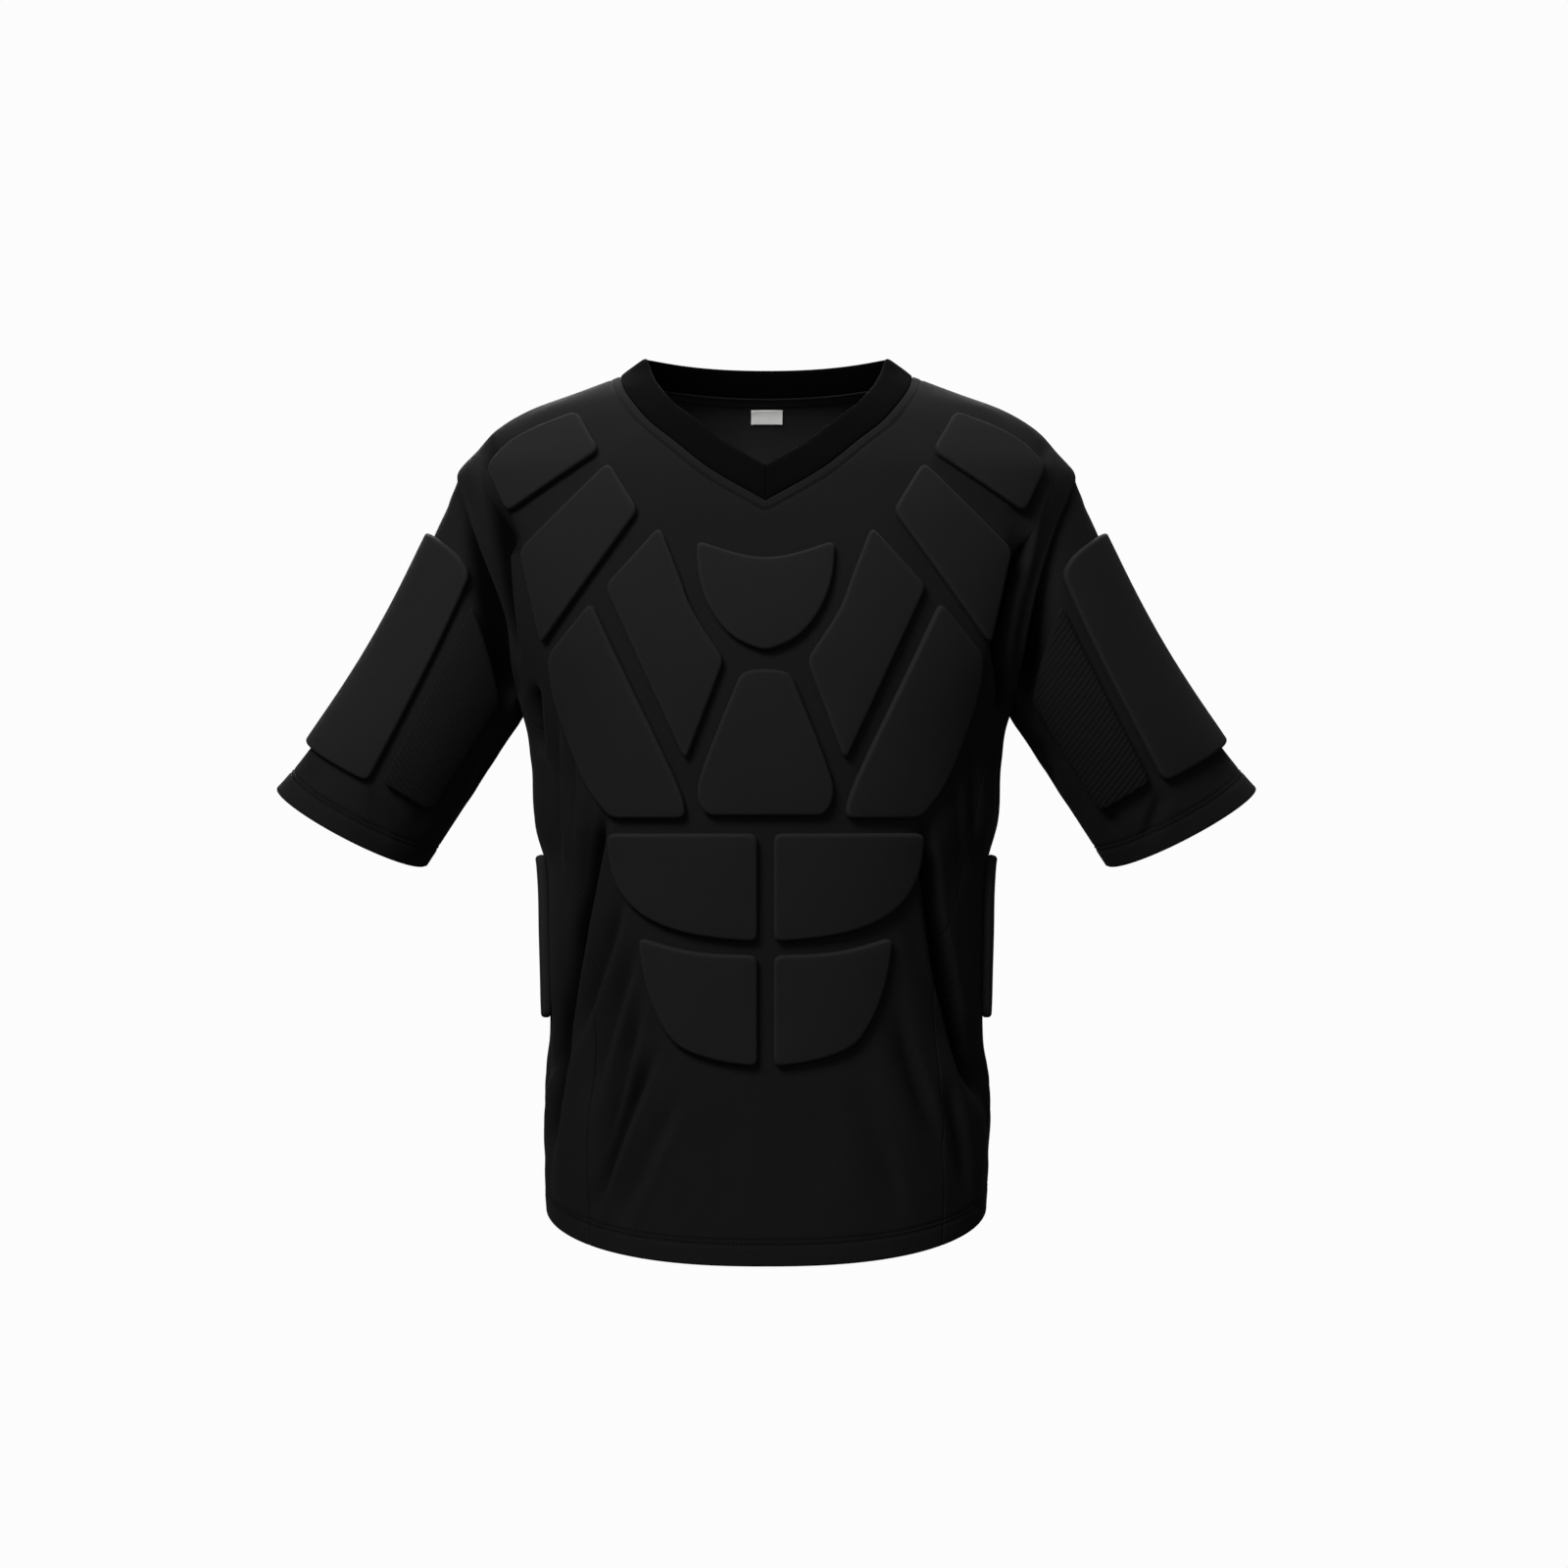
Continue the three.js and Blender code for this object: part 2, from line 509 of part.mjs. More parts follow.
function collarMesh() {
  const grid = [];
  for (let row = 0; row <= COLLAR_ROWS; row += 1) {
    const line = [];
    for (let column = 0; column < NECK_LOOP; column += 1) {
      const { point, rise, outward, stretch } = collarSeam(column);
      const up = mix(COLLAR_EASE, COLLAR_WIDTH * stretch, row / COLLAR_ROWS);
      const cell = { point: point.clone().addScaledVector(rise, up), normal: outward, own: outward };
      Object.assign(cell, { wall: row === 0 ? CLOTH : COLLAR_CLOTH, reach: 1 });
      if (row === 0) Object.assign(cell, collarMitre(column));
      line.push(cell);
    }
    grid.push(line);
  }
  return sheetMesh(grid, { seams: ["first"], loop: true });
}

// The label lies on the inside of the back panel
function labelMesh() {
  const grid = [];
  for (let row = 0; row <= LABEL.rows; row += 1) {
    const line = [];
    for (let column = 0; column <= LABEL.columns; column += 1) {
      const x = mix(-LABEL.halfWidth, LABEL.halfWidth, column / LABEL.columns);
      const z = mix(LABEL.bottom, LABEL.top, row / LABEL.rows);
      const { point, normal } = torso(turnOfX(Math.abs(x), z), z, 1, x < 0 ? -1 : 1);
      point.addScaledVector(normal, -CLOTH - LABEL.clear);
      line.push({ point, normal, wall: LABEL.thickness, reach: 1 });
    }
    grid.push(line);
  }
  return sheetMesh(grid);
}

// PADS

// Corners are cut round with an arc of three points, and long sides get points between
const CORNER_SHARE = 0.3; // the most of a side that a corner takes
const cutBack = (corner, end) => {
  const reach = Math.min(PAD.corner, end.distanceTo(corner) * CORNER_SHARE);
  return corner.clone().addScaledVector(end.clone().sub(corner).normalize(), reach);
};
function roundedOutline(corners, longest) {
  const points = [];
  const count = corners.length;
  corners.forEach((corner, index) => {
    const before = corners[(index + count - 1) % count];
    const after = corners[(index + 1) % count];
    const start = cutBack(corner, before);
    const end = cutBack(corner, after);
    const middle = corner.clone().multiplyScalar(2).add(start).add(end).multiplyScalar(0.25);
    points.push(start, middle, end);
    const next = cutBack(after, corner);
    const extra = Math.floor(end.distanceTo(next) / longest);
    for (let part = 1; part <= extra; part += 1) points.push(end.clone().lerp(next, part / (extra + 1)));
  });
  return points;
}
function insetOutline(outline, inset) {
  const area = outline.reduce((sum, p, i) => sum + p.cross(outline[(i + 1) % outline.length]), 0);
  return outline.map((point, index) => {
    const before = outline[(index + outline.length - 1) % outline.length];
    const after = outline[(index + 1) % outline.length];
    const run = after.clone().sub(before).normalize();
    const inward = new THREE.Vector2(-run.y, run.x).multiplyScalar(Math.sign(area));
    return point.clone().addScaledVector(inward, inset);
  });
}

// place turns a pad's own two coordinates into a point of the cloth with its outward direction
function padMesh(corners, place, { rings: inner, longest, clear }) {
  const outline = roundedOutline(corners.map(([across, up]) => new THREE.Vector2(across, up)), longest);
  const top = insetOutline(outline, PAD.bevel);
  const middle = outline.reduce((sum, p) => sum.add(p), new THREE.Vector2()).divideScalar(outline.length);
  const shrink = (line, share) => line.map((p) => middle.clone().lerp(p, share));
  const points = [];
  const lift = (p, height) => {
    const { point, normal } = place(p.x, p.y);
    points.push(point.clone().addScaledVector(normal, height));
  };
  const ring = (line, height) => line.forEach((p) => lift(p, height));
  [...inner].reverse().forEach((share) => ring(shrink(outline, share), clear));
  ring(outline, clear);
  ring(outline, PAD.edge);
  ring(top, PAD.height);
  inner.forEach((share) => ring(shrink(top, share), PAD.height + PAD.dome * (1 - share)));
  const count = outline.length;
  const rings = points.length / count;
  const triangles = [];
  for (let row = 0; row < rings - 1; row += 1) {
    for (let i = 0; i < count; i += 1) {
      const [a, b] = [row * count + i, row * count + ((i + 1) % count)];
      triangles.push([a, b, b + count], [a, b + count, a + count]);
    }
  }
  lift(middle, clear);
  lift(middle, PAD.height + PAD.dome);
  for (let i = 0; i < count; i += 1) {
    const next = (i + 1) % count;
    triangles.push([next, i, points.length - 2]);
    triangles.push([(rings - 1) * count + i, (rings - 1) * count + next, points.length - 1]);
  }
  return meshOf(points, triangles);
}

const onFront = (side) => (x, z) => torso(turnOfX(Math.abs(x), z), z, -1, side * (x < 0 ? -1 : 1), false);
const onFlank = (side) => (y, z) => torso(turnOfY(y, z), z, y > 0 ? 1 : -1, side, false);
const onSleeve = (side) => (round, up) => {
  const angle = round / SLEEVE_RADIUS;
  const turn = (angle + 2 * Math.PI) % (2 * Math.PI);
  return sleeve(turn, 1 - up / sleeveBase(turn, 0, side).length, side, false);
};

// ASSEMBLY

const shirt = new THREE.Group();
function add(name, geometry, finish) {
  const mesh = new THREE.Mesh(geometry, new THREE.MeshStandardMaterial(finish));
  mesh.name = name;
  shirt.add(mesh);
}

add("front_panel", bodyPanel(-1, frontNeck), KNIT_FINISH);
add("back_panel", bodyPanel(1, backNeck), KNIT_FINISH);
add("collar", collarMesh(), RIB_FINISH);
add("neck_label", labelMesh(), LABEL_FINISH);
for (const [hand, side] of [["left", 1], ["right", -1]]) {
  add(`side_panel_${hand}`, sidePanel(side), KNIT_FINISH);
  add(`sleeve_${hand}`, sleeveMesh(side), KNIT_FINISH);
}
const LAID_ON = { front: onFront, flank: onFlank, sleeve: onSleeve };
for (const { name, on, lay, corners } of PADS) {
  if (on === "middle") {
    const other = corners.slice(1, -1).reverse().map(([x, z]) => [-x, z]);
    add(`pad_${name}`, padMesh([...corners, ...other], onFront(1), lay), PAD_FINISH);
    continue;
  }
  const finish = name === "sleeve_inner" ? MESH_FINISH : PAD_FINISH;
  add(`pad_${name}_left`, padMesh(corners, LAID_ON[on](1), lay), finish);
  add(`pad_${name}_right`, padMesh(corners, LAID_ON[on](-1), lay), finish);
}

export default shirt;
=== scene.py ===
import math
import bpy
import numpy as np
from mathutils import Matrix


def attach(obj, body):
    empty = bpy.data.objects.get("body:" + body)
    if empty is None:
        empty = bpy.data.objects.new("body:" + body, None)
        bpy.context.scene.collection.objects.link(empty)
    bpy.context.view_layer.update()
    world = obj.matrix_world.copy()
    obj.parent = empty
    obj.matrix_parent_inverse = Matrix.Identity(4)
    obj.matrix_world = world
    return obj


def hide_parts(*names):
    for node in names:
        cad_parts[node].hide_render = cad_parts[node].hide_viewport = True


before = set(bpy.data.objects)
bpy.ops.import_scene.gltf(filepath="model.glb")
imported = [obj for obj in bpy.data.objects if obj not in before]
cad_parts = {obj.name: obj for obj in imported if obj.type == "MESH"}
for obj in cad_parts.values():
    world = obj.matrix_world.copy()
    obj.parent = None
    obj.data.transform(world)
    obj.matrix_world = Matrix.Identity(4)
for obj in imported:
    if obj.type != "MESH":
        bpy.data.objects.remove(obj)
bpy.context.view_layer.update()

# The front panel
# One piece of soft black jersey, cut with a V neck and sewn to the back, side panels, sleeves and collar.
# Its hem is turned up and sewn with two rows of black thread. Sizes are in millimetres; the form, the
# folds, the knit and the stitches set out here serve the other cloth pieces too.
KNIT = 1.6  # thickness of the cloth, and of its turned-up hem
HEM_KNIT = 2.6
SQUARENESS = 2.4  # of the body seen from above; an ellipse has 2
FORM = (  # height, half width, depth in front of and behind the shoulder line
    (10, 90, 6, 35), (0, 113, 22, 48), (-13, 146, 44, 66), (-27, 183, 61, 77), (-42, 208, 73, 86),
    (-58, 223, 83, 93), (-80, 240, 94, 101), (-115, 240, 107, 110), (-160, 229, 118, 115),
    (-210, 210, 126, 116), (-262, 188, 129, 113), (-300, 180, 128, 108), (-345, 178, 124.5, 103),
    (-378, 170, 121.5, 99), (-430, 168, 117, 95), (-505, 167, 112, 93), (-575, 172, 112, 97),
    (-680, 167, 114, 104),
)
V_NECK = (  # share of the way from the V to the shoulder, x, height
    (0, 0, -104), (0.26, 42, -79), (0.46, 70, -56), (0.59, 88, -41), (0.72, 101, -25), (0.84, 109, -12),
    (1, 113, 0),
)
NECK_HALF_WIDTH = 113
BACK_NECK_DROP = 9
SHOULDER_DROP = 80
SHOULDER_EASE = 1.4
NECK_SHARE = 7 / 12  # of the top edge, the rest is the shoulder seam
ARMHOLE = dict(middle=-171, half_height=91, half_depth=60, notch=math.radians(150))
HEM_SIDE = -641
HEM_DROP = 31
HEM_SWEEP = 1.3
SIDE_SEAM = (  # height, share of the half width
    (-250, 0.985), (-285, 0.94), (-320, 0.905), (-380, 0.885), (-440, 0.79), (-480, 0.765),
    (-560, 0.775), (-665, 0.79),
)
SEAM_ROLL = 1.5  # radius over which a sewn edge rolls under
MITRE_REACH = 9  # how far from an arm seam the walls turn to its mitre, and then from the neck seam
NECK_MITRE_REACH = 5
HEM_RISE = 0.5  # the cloth stands out over its turn-up
NOTCH_FADE = (2, 34)  # below the armhole, over which the creases begin
FOLD_DARK = 12  # depth at which the painted shade in folds is as dark as it gets
SOFT_SIDE = 1.65  # of a crease, times its width
STEEP_SIDE = 0.78
RIDGE = 0.28  # of the trough's depth, along both its sides
STITCH_ROWS = (16.2, 19.2)  # of the hem, up from its edge
COLLAR_STITCH = 7.4  # outside the collar seam
# distances of the cloth's points from a side seam, from a top seam and from the hem
EDGE_STEPS = np.array([6, 4, 2.6, 1.6, 1.0, 0.5, 0.15, 0])
TOP_STEPS = np.array([13, 10.5, 8.9, 8.1, 7.4, 6.7, 5.9, 4.2, 2.8, 1.7, 1.0, 0.5, 0.15, 0])
HEM_STEPS = np.array(
    [0, 0.25, 0.8, 1.7, 3.2, 6, 9, 12, 14.4, 15.4, 16.2, 17, 17.7, 18.4, 19.2, 20, 21, 23.5]
)
UPPER_WIDTHS = (215, 270, 190)  # of half a panel along the cloth, at the notch, halfway and at the top
FRONT_CREASES = (  # from x, height to x, height, then width, depth and bow sideways
    (-119, -336, -142, -452, 4.8, 14.0, 2), (-136, -402, -164, -540, 5.4, 13.0, -2),
    (-104, -392, -150, -524, 4.8, 7.0, -2), (-94, -430, -134, -566, 4.8, 6.0, 2),
    (-92, -470, -129, -606, 4.8, 6.5, -2), (-80, -510, -132, -648, 4.6, 8.5, 3),
    (-64, -546, -112, -652, 6, 4.0, 2), (-148, -500, -166, -606, 5, 7.0, 2),
    (-157, -258, -155, -396, 5, 5.5, 3), (-143, -286, -146, -384, 4, 4.2, 2),
    (-130, -330, -150, -430, 4.5, 3.6, 1), (-173, -240, -171, -294, 3.4, 11.0, 0),
    (-213, -50, -199, -150, 5.4, 15.0, -2), (-198, -110, -189, -226, 5, 15.0, 3),
    (118, -340, 138, -478, 4.2, 14.0, 1), (131, -418, 166, -560, 4.6, 18.0, 4),
    (96, -486, 142, -612, 6, 6.0, 2), (136, -536, 154, -632, 5, 6.0, -2),
    (108, -416, 140, -532, 5, 4.0, -2), (66, -540, 104, -644, 8, 2.6, -3),
    (154, -262, 156, -384, 4.5, 4.5, -3), (140, -300, 148, -398, 4.5, 3.6, -2),
    (-30, -556, -20, -640, 14, 1.6, 3), (40, -552, 30, -632, 15, 1.6, -3),
    (96, -30, 124, -60, 9, 0.9, 1), (-98, -32, -128, -62, 9, 0.9, -1),
    (213, -58, 188, -176, 4.4, 13.0, 2), (192, -134, 177, -226, 4.6, 16.0, 2),
    (177, -186, 188, -272, 4, 10.0, 3),
    (166, -216, 170, -306, 4.5, 4.0, -1), (182, -232, 178, -268, 3.4, 4.0, 0),
)
BACK_CREASES = (
    (-106, -396, -150, -492, 9, 4.2, 3), (-84, -480, -132, -572, 11, 3.4, -3),
    (-150, -250, -160, -345, 7, 3.0, 2), (-128, -262, -140, -372, 9, 2.2, -2),
    (-168, -220, -150, -262, 5, 3.0, 1), (-60, -560, -92, -628, 12, 1.6, 3),
    (-148, -560, -158, -622, 8, 1.8, 2), (98, -436, 150, -524, 9, 4.4, -3),
    (72, -520, 118, -600, 12, 3.0, 3), (146, -256, 158, -350, 7, 2.8, -2),
    (120, -270, 136, -392, 10, 2.4, 2), (170, -218, 152, -262, 5, 3.2, -1),
    (138, -566, 150, -628, 9, 2.0, -2), (0, -500, 22, -610, 20, 1.2, 3),
    (-24, -300, -40, -420, 22, 1.4, 3), (36, -260, 30, -380, 24, 1.3, -3),
    (-70, -60, -110, -100, 12, 1.2, 2), (66, -52, 112, -96, 12, 1.3, -2),
    (-40, -150, -96, -196, 16, 1.2, 3), (48, -160, 108, -210, 16, 1.3, -3),
)
RIGHT_FLANK_CREASES = (  # from y, height to y, height, and then the same
    (-52, -470, -26, -540, 8, 3.4, 2), (-56, -520, -30, -596, 9, 3.8, -2),
    (-20, -512, 16, -590, 9, 3.0, 3), (24, -504, 44, -590, 8, 2.4, -2), (56, -440, 44, -540, 8, 3.0, 2),
    (-18, -268, -12, -356, 7, 3.0, 1), (12, -262, 20, -358, 8, 3.0, -1),
    (0, -590, 10, -640, 10, 1.6, 2), (-40, -590, -32, -640, 7, 1.6, 1),
)
LEFT_FLANK_CREASES = (
    (-54, -486, -26, -560, 9, 4.2, 2), (-38, -520, -6, -604, 9, 3.4, -2),
    (14, -508, 36, -600, 9, 2.8, 2), (52, -450, 40, -552, 8, 2.8, -2),
    (-16, -264, -18, -352, 8, 3.0, -1), (16, -268, 22, -360, 7, 2.8, 1),
    (-20, -600, -14, -640, 8, 1.6, 1),
)
LEFT_ARMHOLE_SINK = (  # degrees round the armhole from the shoulder forwards, depth of its valley
    (0, 1.5), (40, 2), (70, 4), (92, 10), (118, 18), (138, 9), (150, 0), (210, 0), (236, 5), (275, 8),
    (315, 3), (360, 1.5),
)
RIGHT_ARMHOLE_SINK = (
    (0, 1.5), (26, 3), (44, 10), (62, 22), (100, 26), (124, 20), (140, 9), (150, 0), (210, 0), (232, 4),
    (270, 8), (310, 4), (360, 1.5),
)
SINK_ON_BODY = 4.6  # half width of the valley on the body, and on the sleeve
SINK_ON_SLEEVE = 15
SINK_RIDGE = dict(share=0.17, away=9.66, width=5)  # along the valley, on the body


def unit(vectors):
    return vectors / np.maximum(1e-9, np.linalg.norm(vectors, axis=-1, keepdims=True))


def smoothstep(start, end, value):
    share = np.clip((value - start) / (end - start), 0, 1)
    return share * share * (3 - 2 * share)


def bell(distance, width):
    """1 at no distance, and about a third at the width."""
    return np.exp(-((distance / width) ** 2))


def smooth_curve(stations, values):
    """A smooth curve through the values, to be read at any place between the stations."""
    order = np.argsort(stations)
    at, to = np.array(stations, float)[order], np.array(values, float)[order]
    span_about = np.append(at[1:], at[-1]) - np.append(at[0], at[:-1])
    slope = (np.append(to[1:], to[-1]) - np.append(to[0], to[:-1])) / span_about

    def read(place):
        i = np.clip(np.searchsorted(at, place) - 1, 0, len(at) - 2)
        span = at[i + 1] - at[i]
        t = np.clip((place - at[i]) / span, 0, 1)
        level = to[i] + (to[i + 1] - to[i]) * t * t * (3 - 2 * t)
        return level + span * (slope[i] * t * (1 - t) ** 2 + slope[i + 1] * t * t * (t - 1))

    return read


def arc_lengths(line):
    return np.append(0, np.cumsum(np.linalg.norm(np.diff(line, axis=0), axis=-1)))


def read_along(place, stations, values):
    """The rows of values, read between the stations."""
    columns = range(values.shape[-1])
    return np.stack([np.interp(place, stations, values[:, k]) for k in columns], -1)


heights, half_widths, fronts, backs = zip(*FORM)
half_width_at = smooth_curve(heights, half_widths)
front_depth_at = smooth_curve(heights, fronts)
back_depth_at = smooth_curve(heights, backs)
seam_share_at = smooth_curve(*zip(*SIDE_SEAM))
neck_shares, neck_xs, neck_heights = zip(*V_NECK)
neck_x_at = smooth_curve(neck_shares, neck_xs)
neck_height_at = smooth_curve(neck_shares, neck_heights)


def depth_at(z, face):
    return np.where(np.asarray(face) < 0, front_depth_at(z), back_depth_at(z))


def turn_of_share(share):
    return np.arcsin(np.clip(share, 0, 1) ** (SQUARENESS / 2))


def turn_of_x(x, z):
    return turn_of_share(np.abs(x) / half_width_at(z))


def turn_of_y(y, z):
    return np.pi / 2 - turn_of_share(np.abs(y) / depth_at(z, np.where(np.asarray(y) > 0, 1, -1)))


def torso(turn, z, face, side):
    """Points of the filled-out body with the directions out of it; turn is 0 in the middle."""
    turn, z, face, side = np.broadcast_arrays(np.clip(turn, 0, np.pi / 2), z, face, side)
    across = np.sin(turn) ** (2 / SQUARENESS)
    through = np.maximum(0, 1 - across**SQUARENESS) ** (1 / SQUARENESS)
    width, depth = half_width_at(z), depth_at(z, face)
    widening = (half_width_at(z + 1) - half_width_at(z - 1)) / 2 / width
    deepening = (depth_at(z + 1, face) - depth_at(z - 1, face)) / 2 / depth
    point = np.stack([side * width * across, face * depth * through, z], -1)
    rise = -(across**SQUARENESS) * widening - through**SQUARENESS * deepening
    round_x = side * across ** (SQUARENESS - 1) / width
    round_y = face * through ** (SQUARENESS - 1) / depth
    return point, unit(np.stack([round_x, round_y, rise], -1))


def hem_height(turn):
    through = np.maximum(0, 1 - np.sin(turn) ** 2) ** (1 / SQUARENESS)
    return HEM_SIDE - HEM_DROP * through**HEM_SWEEP


def armhole(angle):
    """Turn, height and face of the armhole's edge; angle runs from the shoulder tip forwards."""
    z = ARMHOLE["middle"] + ARMHOLE["half_height"] * np.cos(angle)
    y = -ARMHOLE["half_depth"] * np.sin(angle)
    return turn_of_y(y, z), z, np.where(y > 0, 1, -1)


def front_neck(share):
    z = neck_height_at(share)
    return np.where(share >= 1, np.pi / 2, turn_of_x(neck_x_at(share), z)), z


def back_neck(share):
    z = -BACK_NECK_DROP * np.cos(share * np.pi / 2) ** 2
    x = NECK_HALF_WIDTH * np.sin(share * np.pi / 2)
    return np.where(share >= 1, np.pi / 2, turn_of_x(x, z)), z


NOTCH_HEIGHT = ARMHOLE["middle"] + ARMHOLE["half_height"] * math.cos(ARMHOLE["notch"])


def notch_turn(face):
    return armhole(ARMHOLE["notch"] if face < 0 else 2 * np.pi - ARMHOLE["notch"])[0]


def side_turn(z, face):
    """Turn of the side seam, eased into the armhole's notch."""
    plain = turn_of_share(seam_share_at(z))
    at_notch = notch_turn(face) - turn_of_share(seam_share_at(NOTCH_HEIGHT))
    return plain + at_notch * smoothstep(-300, NOTCH_HEIGHT, z)


def upper_patch(across, up, face):
    """Turn and height in the body above the notches, between centre, neck, shoulder and armhole."""
    neck = front_neck if face < 0 else back_neck

    def top(u):
        on_neck = neck(np.clip(u / NECK_SHARE, 0, 1))
        share = np.clip((u - NECK_SHARE) / (1 - NECK_SHARE), 0, 1)
        on_shoulder = (np.pi / 2, -SHOULDER_DROP * share**SHOULDER_EASE)
        return [np.where(u <= NECK_SHARE, a, b) for a, b in zip(on_neck, on_shoulder)]

    def bottom(u):
        return u * notch_turn(face), NOTCH_HEIGHT + 0 * u

    def centre(v):
        return 0 * v, NOTCH_HEIGHT + (neck(np.array(0.0))[1] - NOTCH_HEIGHT) * v

    def arm(v):
        return armhole((1 if face < 0 else -1) * ARMHOLE["notch"] * (1 - v) % (2 * np.pi))[:2]

    ends = [bottom(np.array(0.0)), bottom(np.array(1.0)), top(np.array(0.0)), top(np.array(1.0))]
    blended = []
    for low, high, left, right, c00, c10, c01, c11 in zip(
        bottom(across), top(across), centre(up), arm(up), *ends
    ):
        corners = (c00 * (1 - across) + c10 * across) * (1 - up) + (c01 * (1 - across) + c11 * across) * up
        blended.append(low * (1 - up) + high * up + left * (1 - across) + right * across - corners)
    return np.clip(blended[0], 0, np.pi / 2), blended[1]


def fold_shade(lift):
    """Painted shade: how far the cloth's colour is darkened in its folds and in the dents of its stitches,
    0 to 1.
    """
    return smoothstep(1.0, FOLD_DARK, -lift)


def crease_height(across, up, creases):
    """How far the troughs in the table press the cloth in; each has a soft side and a steep one."""
    height = np.zeros(np.shape(across))
    for x1, z1, x2, z2, width, depth, bow in creases:
        run = np.array([x2 - x1, z2 - z1], float)
        length = np.hypot(*run)
        along = ((across - x1) * run[0] + (up - z1) * run[1]) / length**2
        off = ((across - x1) * run[1] - (up - z1) * run[0]) / length
        off = off - bow * 4 * along * (1 - along) * (np.abs(along - 0.5) < 0.5)
        taper = smoothstep(-0.06, 0.3, along) * smoothstep(1.08, 0.62, along)
        spread = width * np.where(off > 0, SOFT_SIDE, STEEP_SIDE)
        ridge = RIDGE * min(1, 4 / depth) * bell(np.abs(off) - 2 * spread, spread)
        height -= depth * taper * (bell(off, spread) - ridge)
    return height


def body_creases(point):
    """The creases at points of the body, which run on over the seams between its panels."""
    x, y, height = np.moveaxis(point, -1, 0)
    front = crease_height(x, height, FRONT_CREASES) * (y < 0)
    back = crease_height(x, height, BACK_CREASES) * (y > 0)
    right = crease_height(y, height, RIGHT_FLANK_CREASES) * (x < 0)
    left = crease_height(y, height, LEFT_FLANK_CREASES) * (x > 0)
    off_side = np.abs(y)
    return (front + back) * smoothstep(3, 26, off_side) + (left + right) * smoothstep(76, 40, off_side)


right_sink_at = smooth_curve(*zip(*RIGHT_ARMHOLE_SINK))
left_sink_at = smooth_curve(*zip(*LEFT_ARMHOLE_SINK))


def armhole_sink(angle, side):
    """The sleeve seam lies in a valley round the armhole, deepest in front of the right arm."""
    degrees = np.degrees(angle % (2 * np.pi))
    return left_sink_at(degrees) if side > 0 else right_sink_at(degrees)


CUFF = dict(x=322, y=8, z=-348, across=65, deep=52, tilt=math.radians(27.7), front_drop=8)
SLEEVE_FULLNESS = 7
SLEEVE_PRESSED = 13


def sleeve_base(angle, share, side):
    turn, z, face = armhole(angle)
    start = torso(turn, z, face, side)[0]
    out = CUFF["across"] * np.cos(angle)
    end = np.stack(np.broadcast_arrays(
        side * (CUFF["x"] + out * math.cos(CUFF["tilt"])),
        CUFF["y"] - CUFF["deep"] * np.sin(angle),
        CUFF["z"] + out * math.sin(CUFF["tilt"]) - CUFF["front_drop"] * np.abs(np.sin(angle)),
    ), -1)
    length = np.linalg.norm(end - start, axis=-1)
    point = start + (end - start) * np.asarray(share)[..., None]
    bulge = np.sin(np.pi * np.clip(share, 0, 1))
    pressed = SLEEVE_PRESSED * smoothstep(-0.3, 1, np.cos(angle)) * np.maximum(0, bulge) ** 0.75
    point[..., 0] -= side * pressed * math.cos(CUFF["tilt"])
    point[..., 1] -= SLEEVE_FULLNESS * np.sin(angle) * bulge
    point[..., 2] -= pressed * math.sin(CUFF["tilt"])
    return point, length


def sleeve(angle, share, side):
    small = 1e-3
    point, length = sleeve_base(angle, share, side)
    around = sleeve_base(angle + small, share, side)[0] - sleeve_base(angle - small, share, side)[0]
    down = sleeve_base(angle, share + small, side)[0] - sleeve_base(angle, share - small, side)[0]
    return point, unit(np.cross(around, down)) * side, length


def armhole_mitre(angle, side):
    """The direction that the body's and the sleeve's walls share at the armhole seam."""
    turn, z, face = armhole(angle)
    return unit(torso(turn, z, face, side)[1] + sleeve(angle, np.zeros(np.shape(angle)), side)[1])


# the neck seam from the V over one shoulder to the middle of the back, in even steps
NECK_STEPS = 900
steps = np.linspace(0, 1, NECK_STEPS)
front_turn, front_z = front_neck(steps)
back_turn, back_z = back_neck(1 - steps)
front_line, front_out = torso(front_turn, front_z, -1, 1)
back_line, back_out = torso(back_turn, back_z, 1, 1)
neck_line = np.concatenate([front_line, back_line[1:]])
neck_out = np.concatenate([front_out, back_out[1:]])
neck_arc = arc_lengths(neck_line)
NECK_LENGTH = neck_arc[-1]
even_arc = np.linspace(0, NECK_LENGTH, 2 * NECK_STEPS)
neck_line = read_along(even_arc, neck_arc, neck_line)
neck_out = unit(read_along(even_arc, neck_arc, neck_out))
neck_tangent = unit(np.gradient(neck_line, axis=0))
for _ in range(60):  # eases the corner at the shoulder
    middle = (neck_tangent[:-2] + neck_tangent[2:]) / 2
    neck_tangent[1:-1] = unit((neck_tangent[1:-1] + middle) / 2)
COLLAR_LIFT = dict(front=math.radians(4), back=math.radians(18))


def neck_frame(arc):
    """Point of the neck seam, the collar's rise and outward direction, and the body's own."""
    point = read_along(arc, even_arc, neck_line)
    out, tangent = [unit(read_along(arc, even_arc, values)) for values in (neck_out, neck_tangent)]
    lean = smoothstep(-90, 50, point[..., 1])
    lift = COLLAR_LIFT["front"] + (COLLAR_LIFT["back"] - COLLAR_LIFT["front"]) * lean
    inward = unit(np.cross(out, tangent))
    rise = inward * np.cos(lift)[..., None] + out * np.sin(lift)[..., None]
    return point, rise, unit(np.cross(tangent, rise)), out


